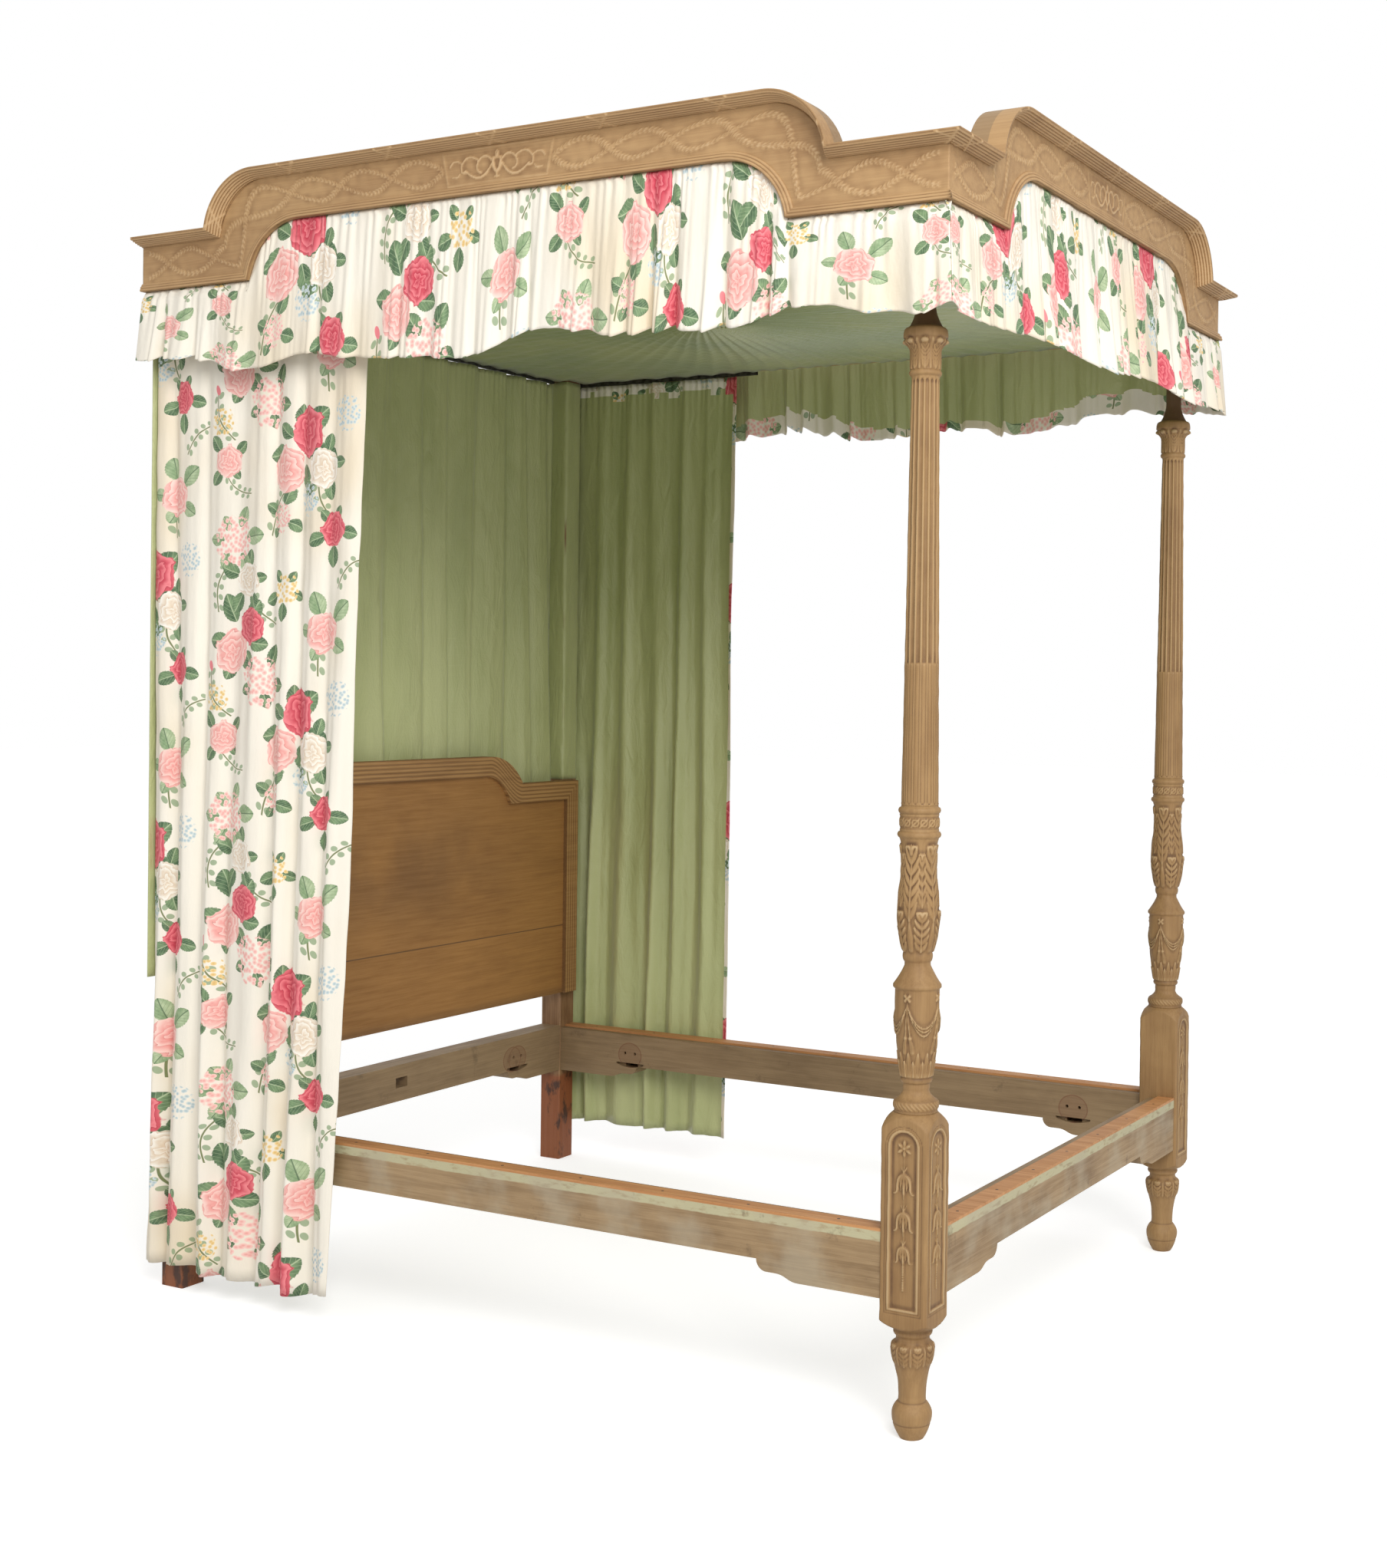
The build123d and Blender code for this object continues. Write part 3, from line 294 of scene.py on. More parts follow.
def useGroup(tree, group, inputs):
    node = tree.nodes.new("ShaderNodeGroup")
    node.node_tree = group
    for key, value in inputs.items():
        if isinstance(value, bpy.types.NodeSocket):
            tree.links.new(value, node.inputs[key])
        elif isinstance(value, tuple) and len(value) == 3 and node.inputs[key].type == "RGBA":
            node.inputs[key].default_value = (*value, 1.0)
        else:
            node.inputs[key].default_value = value
    return node.outputs


def surface(tree, color, rough, height=None, bumpDepth=0.001, **constants):
    # the Principled shader with a bump, and the plain values it is given
    shader = tree.nodes.new("ShaderNodeBsdfPrincipled")
    for socket, value in (("Base Color", color), ("Roughness", rough)):
        if isinstance(value, bpy.types.NodeSocket):
            tree.links.new(value, shader.inputs[socket])
        elif socket == "Base Color":
            shader.inputs[socket].default_value = (*value, 1.0)
        else:
            shader.inputs[socket].default_value = value
    for key, value in constants.items():
        shader.inputs[key.replace("_", " ")].default_value = value
    if height is not None:
        bump = addNode(tree, "ShaderNodeBump", {"Height": height, "Distance": bumpDepth, "Strength": 1.0})
        tree.links.new(bump.outputs[0], shader.inputs["Normal"])
    output = tree.nodes.new("ShaderNodeOutputMaterial")
    tree.links.new(shader.outputs[0], output.inputs[0])
    return shader


def paint(red, green, blue):
    # a screen colour, 0 to 255, to the linear values that shaders use
    c = np.array([red, green, blue]) / 255.0
    return tuple(float(v) for v in np.where(c <= 0.04045, c / 12.92, ((c + 0.055) / 1.055) ** 2.4))


# Shared shader effects

def makeGrainGroup():
    # long streaks and short pores along the vector's third axis, and a slow change of tone
    group, given, made = newGroup("woodGrain", [("Vector", "vector", None),
                                                ("Light", "color", (0.6, 0.4, 0.2)), ("Dark", "color",
            (0.3, 0.2, 0.1)), ("Contrast", "value", 1.0), ("Blotches", "value",
                                                           0.4)], [("Color", "color"), ("Tone", "value"),
            ("Height", "value")])
    along = stretched(group, given["Vector"], (1, 1, 0.05))
    streaks = noise(group, along, 90.0, 5.0, 0.6, 0.4)
    fine = noise(group, stretched(group, given["Vector"], (1, 1, 0.018)), 420.0, 3.0, 0.7)
    blotch = noise(group, stretched(group, given["Vector"], (1, 1, 0.45)), 7.0, 4.0, 0.6)
    mixed = plus(group, times(group, streaks, 0.62), times(group, fine, 0.38))
    tone = ramp(group, mixed, 0.36, 0.64)
    shade = times(group, times(group, tone, 0.55), given["Contrast"])
    patch = times(group, ramp(group, blotch, 0.40, 0.68), given["Blotches"])
    share = plus(group, shade, patch, clamp=True)
    group.links.new(blendColor(group, share, given["Light"], given["Dark"]), made["Color"])
    group.links.new(tone, made["Tone"])
    group.links.new(mixed, made["Height"])
    return group


def makeReliefShadeGroup():
    # painted shade, mixed with dirt, where the carving is low, and a painted highlight, mixed with wear,
    # where it is high
    group, given, made = newGroup("carvedShadeAndWear", [("Color", "color", None), ("Relief", "value", 0.0),
                                                 ("Vector", "vector", None), ("ShadeAndGrime", "color",
            (0.2, 0.12, 0.05)), ("HighlightAndWear", "color", (0.8, 0.6, 0.4)), ("Amount", "value",
            1.0)], [("Color", "color")])
    patch = noise(group, given["Vector"], 24.0, 3.0, 0.6)
    low = ramp(group, given["Relief"], 0.15, -1.0)
    high = ramp(group, given["Relief"], 0.2, 1.3)
    # the hollows darken as painted shade mixed with dirt, broken up by noise
    shadeAndDirt = times(group, times(group, low, ramp(group, patch, 0.2, 0.7, 0.45, 1.0)), given["Amount"],
                 clamp=True)
    # the raised parts lighten as a painted highlight mixed with rubbed wear
    litAndRubbed = times(group, times(group, high, 0.45), given["Amount"], clamp=True)
    shadedAndDirty = blendColor(group, shadeAndDirt, given["Color"], given["ShadeAndGrime"])
    group.links.new(blendColor(group, litAndRubbed, shadedAndDirty, given["HighlightAndWear"]), made["Color"])
    return group


def makeWeaveGroup():
    # warp and weft as two crossed sine waves, in metres of cloth, and slubs along the weft
    group, given, made = newGroup("plainWeave", [("Vector", "vector", None), ("Thread", "value", 0.0005)],
                                  [("Height", "value"), ("Slub", "value")])
    apart = axes(group, given["Vector"])
    turns = divided(group, tau / 2, given["Thread"])
    warp = calc(group, "SINE", times(group, apart[0], turns))
    weft = calc(group, "SINE", times(group, apart[1], turns))
    group.links.new(times(group, warp, weft), made["Height"])
    group.links.new(noise(group, stretched(group, given["Vector"], (18, 260, 1)), 1.0, 2.0, 0.6),
                    made["Slub"])
    return group


grainGroup = makeGrainGroup()
reliefShadeGroup = makeReliefShadeGroup()
weaveGroup = makeWeaveGroup()

# Lines and ornaments drawn as heights, all in millimetres

def bend(a, b, c, count=9):
    # points along a curve that leaves a towards b and arrives at c from b: (1-t)^2 a + 2t(1-t) b + t^2 c
    t = np.linspace(0, 1, count)[:, None]
    a, b, c = np.array(a, float), np.array(b, float), np.array(c, float)
    return (1 - t) ** 2 * a + 2 * t * (1 - t) * b + t ** 2 * c


def stroke(u, v, points, widths, rise):
    # height of a round-topped line: rise * sqrt(1 - (distance / half width)^2), the highest of its runs
    widths = np.interp(np.linspace(0, 1, len(points)), np.linspace(0, 1, len(widths)), widths)
    best = np.zeros(np.broadcast(u, v).shape)
    for (ax, ay), (bx, by), wa, wb in zip(points[:-1], points[1:], widths[:-1], widths[1:]):
        dx, dy = bx - ax, by - ay
        t = np.clip(((u - ax) * dx + (v - ay) * dy) / (dx * dx + dy * dy + 1e-9), 0, 1)
        away = np.hypot(u - ax - dx * t, v - ay - dy * t)
        best = np.maximum(best, rise * dome(away, wa + (wb - wa) * t))
    return best


def highest(*heights):
    best = heights[0]
    for h in heights[1:]:
        best = np.maximum(best, h)
    return best


def localRelief(height, reach=5):
    # how far each point stands above the mean of its neighbours, in a window of reach rows and columns
    mean = height.copy()
    for axis in (0, 1):
        total = sum(np.roll(mean, k, axis=axis) for k in range(-reach, reach + 1))
        mean = total / (2 * reach + 1)
    return height - mean


def sixPetals(u, v, size):
    petals = [stroke(u, v, bend((size * 0.2 * c, size * 0.2 * s), (size * 0.6 * c, size * 0.6 * s),
                                (size * c, size * s), 4), (size * 0.10, size * 0.27, size * 0.06), 2.4)
              for c, s in [(math.cos(a), math.sin(a)) for a in np.arange(6) * tau / 6 + tau / 4]]
    return highest(*petals, 3.4 * dome(np.hypot(u, v), size * 0.22))


def bellHusk(u, v, tall):
    # a crown of three points, two hanging leaves with turned-up tips, two inner petals and a tongue
    k, side = tall / 62, np.abs(u)
    crown = highest(stroke(side, v, bend((0, -10 * k), (3 * k, -6 * k), (6.5 * k, 0)), (2.2 * k, 0.7 * k),
                           2.4), stroke(side, v, np.array([(0, -10 * k), (0, 1 * k)]), (2.0 * k, 0.6 * k),
                                        2.6))
    neck = stroke(side, v, np.array([(0, -9 * k), (0, -18 * k)]), (3.0 * k, 5.0 * k), 2.8)
    leaf = stroke(side, v, bend((2 * k, -15 * k), (15 * k, -20 * k), (14.5 * k, -44 * k)),
                  (3.2 * k, 4.6 * k, 2.6 * k), 3.0)
    tip = stroke(side, v, bend((14.5 * k, -44 * k), (16 * k, -54 * k), (24 * k, -51 * k)),
                 (2.6 * k, 1.1 * k), 2.6)
    inner = stroke(side, v, bend((2 * k, -18 * k), (9 * k, -26 * k), (6 * k, -46 * k)),
                   (2.0 * k, 3.2 * k, 0.8 * k), 3.2)
    tongue = stroke(side, v, np.array([(0, -20 * k), (0, -36 * k), (0, -62 * k)]),
                    (2.4 * k, 4.2 * k, 0.6 * k), 3.4)
    return highest(crown, neck, leaf, tip, inner, tongue)


def acanthus(u, v, half, tall, lobes, rise=3.0):
    # a leaf that climbs from (0, 0): a midrib, pairs of lobes that curve up and out, and a curled tip
    side, parts = np.abs(u), []
    for k in range(lobes):
        share = k / max(lobes - 1, 1)
        foot = tall * (0.02 + 0.70 * share)
        reach = half * (0.62 + 0.38 * math.sin(math.pi * (0.15 + 0.8 * share)))
        path = bend((0.6, foot), (reach * 0.50, foot + tall * 0.07), (reach * 0.92, foot + tall * 0.21),
                    6)
        parts.append(stroke(side, v, path, (half * 0.16, half * 0.32, half * 0.13),
                            rise * (0.65 + 0.35 * share)))
    rib = stroke(side, v, np.array([(0, 0), (0, tall * 0.96)]), (half * 0.16, half * 0.07), rise * 0.9)
    tip = stroke(side, v, bend((0, tall * 0.84), (half * 0.1, tall * 0.96), (half * 0.55, tall * 0.93),
                               6), (half * 0.22, half * 0.26, half * 0.1), rise * 1.35)
    return highest(rib, tip, *parts)


# The foot posts
footPost = {
    "x": 760.0, "y": -975.0, "columns": 208, "blockHalf": 52.0, "cornerWear": 3.0,
    "blockLow": 222.0, "blockHigh": 652.0, "columnFoot": 1262.0, "columnHead": 2110.0,
    "swagTop": 872.0, "flowerLevel": 882.0, "tasselLevel": 803.0, "skirtFoot": 723.0,
    "lowLeafFoot": 973.0, "highLeafFoot": 1036.0, "scrollMiddle": 1228.5, "neckLeafFoot": 2128.0,
    "footLeaf": 150.0, "fineRow": 2.4, "plainRow": 12.0, "footRow": 2.6,
    "fieldHalf": 29.0, "fieldLow": 268.0, "fieldTop": 618.0, "fieldDeep": 3.0,
    "flutes": 16, "fluteDeep": 3.3, "fluteHalf": 0.37, "reedTop": 1546.0,
    "stations": [
        (0, 24, 3.4), (47, 40.4, 3.2), (74, 28.4, 0), (84, 27.4, -2.4), (150, 37.4, 1.0),
        (176, 43, 3.2), (196, 34, 0), (204, 33.4, 0), (206, 35, 3.6), (219, 37, 0),
        (222, 40, 5), (250, 77, 0), (595, 77, 8), (652, 44, 0), (658, 43.3, 1.2), (676, 43.3, -5),
        (700, 27, 0), (710, 27, 0), (711, 29.5, 2.4), (722, 30, 1.6), (840, 44.5, 0), (897, 44.6, 0),
        (901, 48.6, 0), (906, 48.6, -1.2), (944, 26, 0), (951, 26, 0), (953, 28, 1.8), (970, 29, 3.6),
        (1050, 40.8, 1.0), (1110, 35.8, -2.6), (1190, 37, 0), (1197, 39, 0), (1199, 41.5, 2.4),
        (1210, 41.5, 0), (1211, 38.8, 0), (1246, 38.8, 0), (1247, 40.5, 2.2), (1258, 40.5, 0),
        (1259, 37.8, 0), (1262, 37.2, 0), (2110, 28, 0), (2114, 29, 0), (2115, 31, 1.8), (2125, 31, 0),
        (2126, 29, 0), (2162, 29.5, -2.5), (2180, 41, 0), (2189, 41, 0), (2190, 44.3, 0.8),
        (2206, 43, 1.2), (2212, 34, -4), (2260, 19.5, 0), (2440, 19, 0)],
}


def turnedRadius(z):
    # on each stretch, the straight line between its ends plus a parabola as high as its bow
    s = np.array(footPost["stations"], float)
    i = np.clip(np.searchsorted(s[:, 0], z, side="right") - 1, 0, len(s) - 2)
    high, wide = s[i + 1, 0] - s[i, 0], s[i + 1, 1] - s[i, 1]
    t = (z - s[i, 0]) / high
    return s[i, 1] + wide * t + 4 * s[i, 2] * t * (1 - t) * np.minimum(np.hypot(1, wide / high), 1.7)


def postRows(low, high):
    # levels from station to station, close together where there is carving
    levels = [z for z, _, _ in footPost["stations"] if low <= z <= high]
    rows = []
    for a, b in zip(levels[:-1], levels[1:]):
        plain = (a >= footPost["columnFoot"] and b <= footPost["columnHead"]) or a >= 2260
        carved = footPost["footRow"] if b <= footPost["blockLow"] else footPost["fineRow"]
        gap = footPost["plainRow"] if plain else carved
        rows.append(np.linspace(a, b, max(int(round((b - a) / gap)), 1), endpoint=False))
    rows.append([levels[-1]])
    rows = np.concatenate(rows)
    if low < footPost["reedTop"] < high:  # rows close together where the flutes end and the reeds stop
        ends = [footPost["columnFoot"] + d for d in (2, 4, 6, 8, 10)]
        ends += [footPost["reedTop"] + d for d in (-6, -4, -2, 0, 2)]
        ends += [footPost["columnHead"] - d for d in (4, 6, 8, 10, 12)]
        rows = np.unique(np.concatenate([rows, ends]))
    return rows


def blockFace(u, z):
    # how far the face of the block stands in (negative) or out: a sunk arched field with a bead and
    # a quirk round it, and on the field a flower, three hanging husks and a string of beads
    p = footPost
    half, centre = p["fieldHalf"], p["fieldTop"] - p["fieldHalf"]
    away = np.where(z > centre, np.hypot(u, z - centre) - half,
                    np.maximum(np.abs(u) - half, p["fieldLow"] - z))
    field = -p["fieldDeep"] * smooth(0.9, -0.9, away)
    border = 0.9 * dome(away - 3.4, 2.2) - 1.1 * dome(away - 6.6, 1.1) - 1.0 * dome(away - 11.5, 1.2)
    chain = highest(sixPetals(u, z - 586, 16.5), bellHusk(u, z - 549, 62), bellHusk(u, z - 473, 60),
                    bellHusk(u, z - 404, 54),
                    stroke(u, z, np.array([(0, 569), (0, 350)]), (1.0, 1.0), 1.3),
                    2.3 * dome(np.hypot(u, (z - 303) % 5.2 - 2.6), 2.6) * (np.abs(z - 329) < 26))
    return field + border * (away > -0.5) + chain * (away < -1)


def vaseRelief(theta, z, radius):
    # flowers and bows with swags and tassels between them, over a skirt of pointed leaves
    p = footPost
    part = wrapped(theta, 4, 0.5)
    u = part / 4 * tau * radius
    quarter = tau * 43 / 4
    swag = np.zeros_like(u)
    for drop, thick in ((46, 2.0), (53, 2.2), (61, 2.2)):
        fall = p["swagTop"] - drop * (1 - ((np.abs(u) - quarter / 2) / (quarter / 2)) ** 2) - 3
        swag = np.maximum(swag, 3.3 * dome(z - fall, thick) * (np.abs(u) > 2))
    up = z - p["flowerLevel"]
    rays = [np.array([(math.cos(a), math.sin(a))]) for a in np.arange(4) * tau / 4 + tau / 8]
    petals = [stroke(u, up, np.concatenate([2.6 * ray, 7 * ray]), (2.6, 3.4), 2.6) for ray in rays]
    petals = highest(*petals, 3.2 * dome(np.hypot(u, up), 2.6))
    side = np.abs(u)
    cords = stroke(side, z, bend((0, p["swagTop"]), (1, 845), (5, 806)), (1.3, 1.1), 2.4)
    tassel = highest(2.8 * dome(np.hypot(side - 5, z - p["tasselLevel"]), 4.2),
                     stroke(side, z, bend((5, 800), (8, 790), (8.5, 774)), (3.0, 4.6, 5.0), 2.6)
                     * (0.75 + 0.25 * np.cos(side * 2.6)))
    lowU = wrapped(theta, 12) / 12 * tau * radius
    highU = wrapped(theta, 12, 0.5) / 12 * tau * radius
    halfLeaf = tau * radius / 24
    def pointed(x, base, tall):
        up = (z - base) / tall
        edge = halfLeaf * np.sqrt(np.clip(1 - up, 0, 1)) * 0.98
        inside = smooth(0.0, 1.4, edge - np.abs(x)) * (up >= 0) * (up < 1)
        return inside * (2.0 + 1.6 * np.exp(-(x / 1.0) ** 2) + 0.7
                         * np.exp(-((edge - np.abs(x) - 1.2) / 0.9) ** 2))
    skirt = highest(pointed(lowU, p["skirtFoot"], 34), 0.75 * pointed(highU, p["skirtFoot"], 52))
    return highest(swag, petals, cords, tassel, skirt) * (z > 722) * (z < 893)


def balusterRelief(theta, z, radius):
    # tall leaves that climb to the collar, narrow ones between them, and small leaves round the foot
    p = footPost
    wide = wrapped(theta, 5) / 5 * tau * radius
    between = wrapped(theta, 5, 0.5) / 5 * tau * radius
    upper = highest(acanthus(wide, z - p["highLeafFoot"], 18.5, 156, 6, 3.0),
                    0.85 * acanthus(between, z - 1062, 10, 112, 5, 2.6))
    lower = highest(acanthus(between, z - p["lowLeafFoot"], 16.5, 84, 5, 3.0),
                    0.8 * stroke(wide, z, bend((0, 976), (0, 1000), (0, 1034)), (5.5, 7.0, 1.5), 2.6))
    return np.maximum(upper, lower) * (z > 972) * (z < 1193)


def scrollBand(theta, z, radius):
    # linked rings with an eye in each, and a slanting leaf from ring to ring
    u = wrapped(theta, 14) / 14 * tau * radius
    v = z - footPost["scrollMiddle"]
    ring = 1.9 * dome(np.hypot(u, v) - 6.4, 1.9)
    link = stroke(u, v, bend((-9, -9), (0, 0), (9, 9), 5), (1.6, 2.2, 1.6), 2.0)
    rims = 1.2 * dome(v - 14.5, 1.3) + 1.2 * dome(v + 14.5, 1.3)
    return np.maximum(highest(ring, link, 2.0 * dome(np.hypot(u, v), 2.0)) * (np.abs(v) < 13), rims)


def columnRelief(theta, z, radius):
    # hollow flutes with round ends; below reedTop each is filled by a reed
    p = footPost
    pitch = tau * radius / p["flutes"]
    part = np.abs(wrapped(theta, p["flutes"]))
    across = part / p["fluteHalf"]
    half = pitch * p["fluteHalf"]
    end = np.minimum(z - (p["columnFoot"] + 3), p["columnHead"] - 3 - z)
    ended = np.sqrt(np.clip(1 - (np.clip(half - end, 0, None) / half) ** 2, 0, 1)) * (end > 0)
    inside = across < np.maximum(ended, 1e-3)
    shrink = np.maximum(ended, 1e-3)
    flute = -p["fluteDeep"] * (radius / 37) * np.sqrt(np.clip(1 - (across / shrink) ** 2, 0, 1)) * inside
    reed = p["fluteDeep"] * (radius / 37) * 0.92 * np.sqrt(np.clip(1 - (across / 0.82) ** 2, 0, 1))
    filled = smooth(p["reedTop"] + 1.5, p["reedTop"] - 4, z)
    return flute + reed * filled * ended * 1.0


def neckRelief(theta, z, radius):
    # eight leaves whose tips curl out under the cap, with a plain one showing between each pair
    u = wrapped(theta, 8) / 8 * tau * radius
    between = wrapped(theta, 8, 0.5) / 8 * tau * radius
    leaf = acanthus(u, z - footPost["neckLeafFoot"], 9.5, 58, 6, 2.4)
    curl = 5.5 * dome(np.hypot(u / 1.25, z - 2181), 6.2)
    plain = stroke(between, z, bend((0, 2128), (0, 2150), (0, 2184), 5), (2.6, 4.0, 3.4), 1.8)
    return highest(leaf, plain, curl) * (z > 2127) * (z < 2189)


def footRelief(theta, z, radius):
    # leaves round the foot's shoulder and two lines cut round its ball
    u = wrapped(theta, 9) / 9 * tau * radius
    between = wrapped(theta, 9, 0.5) / 9 * tau * radius
    leaf = acanthus(u, z - footPost["footLeaf"], 11, 42, 4, 1.9)
    plain = stroke(between, z, bend((0, 152), (0, 168), (0, 188), 5), (2.5, 4.2, 1.0), 1.6)
    return highest(leaf, plain) * (z > 149) * (z < 194) - 1.3 * bell(z, 32, 1.3) - 0.8 * bell(z, 74, 1.0)


def makePostPart(side, name, low, high):
    # radius over angle and height: the smaller of the turned radius plus its carving and the square block
    p = footPost
    z = postRows(low, high)[:, None]
    theta = (np.arange(p["columns"]) / p["columns"] * tau)[None, :]
    turned = turnedRadius(z) + 0 * theta
    carving = np.zeros_like(turned)
    for a, b, relief in ((0, 206, footRelief), (722, 897, vaseRelief), (970, 1197, balusterRelief),
                         (1210, 1247, scrollBand), (1262, 2110, columnRelief), (2126, 2190, neckRelief)):
        rows = (z[:, 0] >= a) & (z[:, 0] <= b)
        if rows.any():
            carving[rows] = relief(theta, z[rows], turned[rows])
    rope = np.abs(np.sin(theta * 15 + (z - 658) * 0.33)) * 2.2 * dome(z - 667, 8.5)
    carving += rope * ((z > 658) & (z < 676))
    slope = np.maximum(np.abs(np.cos(theta)), np.abs(np.sin(theta)))
    face = np.zeros_like(turned)
    for turn in (0 if side > 0 else math.pi, -math.pi / 2):
        off = (theta - turn + math.pi) % tau - math.pi
        near = np.abs(off) < math.pi / 4 - 1e-6
        u = p["blockHalf"] * np.tan(np.where(near, off, 0))
        rows = (z[:, 0] > 255) & (z[:, 0] < 640)
        if rows.any():
            face[rows] += np.where(near, blockFace(u, z[rows]), 0)
    square = np.minimum((p["blockHalf"] + face) / slope, p["blockHalf"] * math.sqrt(2) - p["cornerWear"])
    worn = 0.35 * unevenness(7, theta * 30, z, 60)
    onBlock = (square < turned + carving) & (z >= p["blockLow"]) & (z <= p["blockHigh"])
    radius = np.where(onBlock, square, turned + carving) + worn
    height = np.where(onBlock, face, carving)
    centre = np.array([side * p["x"], p["y"]])
    points = np.stack([centre[0] + radius * np.cos(theta), centre[1] + radius * np.sin(theta),
                       z + 0 * theta], axis=-1) * mm
    rows, columns = radius.shape
    relief = np.clip(localRelief(height, 4) * 0.75, -1.5, 1.5)
    caps = [np.arange(columns)[::-1], np.arange(columns) + (rows - 1) * columns]
    piece = makePiece(name, points, gridQuads(rows, columns, closeColumns=True), [carvedWood],
                      relief=relief, caps=caps)
    sideName = "left" if side < 0 else "right"
    return finishPiece(piece, "frame", "carved_wood", "foot_post_" + sideName)


# The cornice
cornice = {
    "friezeX": 852.0, "friezeY": -1064.0, "end": 1105.0, "middleY": 25.0, "bottom": 2436.0, "high": 126.0,
    "crownOut": 41.0, "crownHigh": 17.0, "crownLip": 4.0, "reeds": 6, "reedHigh": 2.0, "tiePitch": 292.0,
    "lowerOut": 9.0, "lowerHigh": 20.0, "upperRise": 127.0, "upperRadius": 150.0, "lowerRise": 131.0,
    "lowerRadius": 155.0, "upperStep": {"side": 838.0, "foot": 678.0},
    "lowerStep": {"side": 730.0, "foot": 572.0},
    "ovalLong": 152.0, "ovalHalf": 31.0, "leafPitch": 9.5, "tabletHalf": {"side": 147.0, "foot": 118.0},
    "column": 2.8, "rows": 38,
}


def archedPath(start, end, middle, step, base, rise, radius, counts):
    # level, quarter turn up, level, quarter turn down, level: five runs with counts points each
    across = math.sqrt(radius ** 2 - (radius - rise) ** 2)
    first = math.pi - math.asin((radius - rise) / radius)
    angle = np.linspace(first, math.pi / 2, counts[1] + 1)
    rising = np.stack([middle - step + across + radius * np.cos(angle),
                       base + rise - radius + radius * np.sin(angle)], 1)
    falling = rising[::-1] * [-1, 1] + [2 * middle, 0]
    def level(a, b, z, n):
        return np.stack([np.linspace(a, b, n + 1), np.full(n + 1, z)], 1)
    return np.concatenate([level(start, middle - step, base, counts[0])[:-1], rising[:-1],
                           level(rising[-1, 0], falling[0, 0], base + rise, counts[2])[:-1], falling[:-1],
                           level(middle + step, end, base, counts[4])])


def cornicePaths(kind, counts, start=None, end=None):
    # the lower and upper edges of one frieze, run by run with as many points
    c = cornice
    if kind == "foot":
        start, end, middle = (-c["friezeX"], c["friezeX"], 0.0) if start is None else (start, end, 0.0)
    else:
        start, end, middle = (c["friezeY"], c["end"], c["middleY"]) if start is None else (start, end,
                c["middleY"])
    lower = archedPath(start, end, middle, c["lowerStep"][kind], c["bottom"], c["lowerRise"],
                       c["lowerRadius"], counts)
    upper = archedPath(start, end, middle, c["upperStep"][kind], c["bottom"] + c["high"], c["upperRise"],
                       c["upperRadius"], counts)
    return lower, upper, middle


def onFrieze(side, along, out, z):
    # side -1 or 1 for the long sides, 0 for the foot: along is Y or X, out is away from the bed
    c = cornice
    if side == 0:
        return np.stack([along, c["friezeY"] - out, z], axis=-1) * mm
    return np.stack([side * (c["friezeX"] + out), along, z], axis=-1) * mm


def laurelOvals(along, across):
    # two twigs that cross and part in a chain of ovals, across = +-A sin(pi s / L), with leaves in pairs
    c = cornice
    best = np.zeros_like(along)
    for way in (-1, 1):
        turn = math.pi / c["ovalLong"]
        line = way * c["ovalHalf"] * np.sin(along * turn)
        slope = way * c["ovalHalf"] * turn * np.cos(along * turn)
        away = (across - line) / np.sqrt(1 + slope ** 2)
        step = along + across * slope * 0.6
        part = ((step - np.abs(away) * 0.95) / c["leafPitch"]) % 1.0 - 0.5
        leaves = 1.7 * dome(part, 0.34) * smooth(7.6, 4.4, np.abs(away)) * smooth(0.2, 2.0, np.abs(away))
        best = np.maximum(best, np.maximum(leaves, 1.3 * dome(away, 1.3)))
    return best


def tabletRelief(x, y, half, high):
    # two fine frames, and in them an urn on a foot with scrolls and festoons to each side
    side = np.abs(x)
    edge = np.minimum(half - side, high - np.abs(y))
    frame = 1.3 * dome(edge - 2.2, 1.4) + 0.9 * dome(edge - 6.5, 1.0)
    urn = highest(stroke(side, y, bend((0, -16), (13, -6), (9, 12), 7), (3.5, 5.0, 3.0), 2.6),
                  stroke(side, y, np.array([(0, -27), (7, -27)]), (2.2, 1.6), 2.2),
                  stroke(side, y, np.array([(0, -26), (0, -16)]), (3.0, 2.2), 2.4),
                  stroke(side, y, np.array([(0, 15), (12, 15)]), (2.0, 1.6), 2.6),
                  stroke(side, y, bend((0, 18), (5, 24), (0, 31), 5), (4.0, 1.4), 2.4))
    k = half / 147
    scroll = highest(stroke(side, y, bend((12 * k, 8), (30 * k, 34), (52 * k, 10), 9), (1.8, 2.6, 2.0),
                            2.3), stroke(side, y, bend((52 * k, 10), (60 * k, -12), (44 * k, -14), 7),
                                         (2.0, 2.6), 2.3), stroke(side, y,
            bend((50 * k, 14), (78 * k, 34), (96 * k, 8), 9), (2.0, 2.8, 2.0), 2.3), stroke(side, y,
            bend((96 * k, 8), (104 * k, -14), (86 * k, -10), 7), (2.0, 2.6), 2.3), stroke(side, y,
            bend((98 * k, 12), (116 * k, 26), (130 * k, 4), 7), (1.8, 2.4, 1.6), 2.0))
    fest = stroke(side, y, bend((14 * k, 2), (46 * k, -48), (88 * k, -6), 12), (2.2, 3.6, 2.2), 2.4)
    drop = stroke(side, y, bend((104 * k, -12), (110 * k, -22), (126 * k, -18), 7), (1.6, 2.6, 1.2), 1.9)
    return np.maximum(highest(urn, scroll, fest, drop) * (edge > 7), frame * (edge > 0))


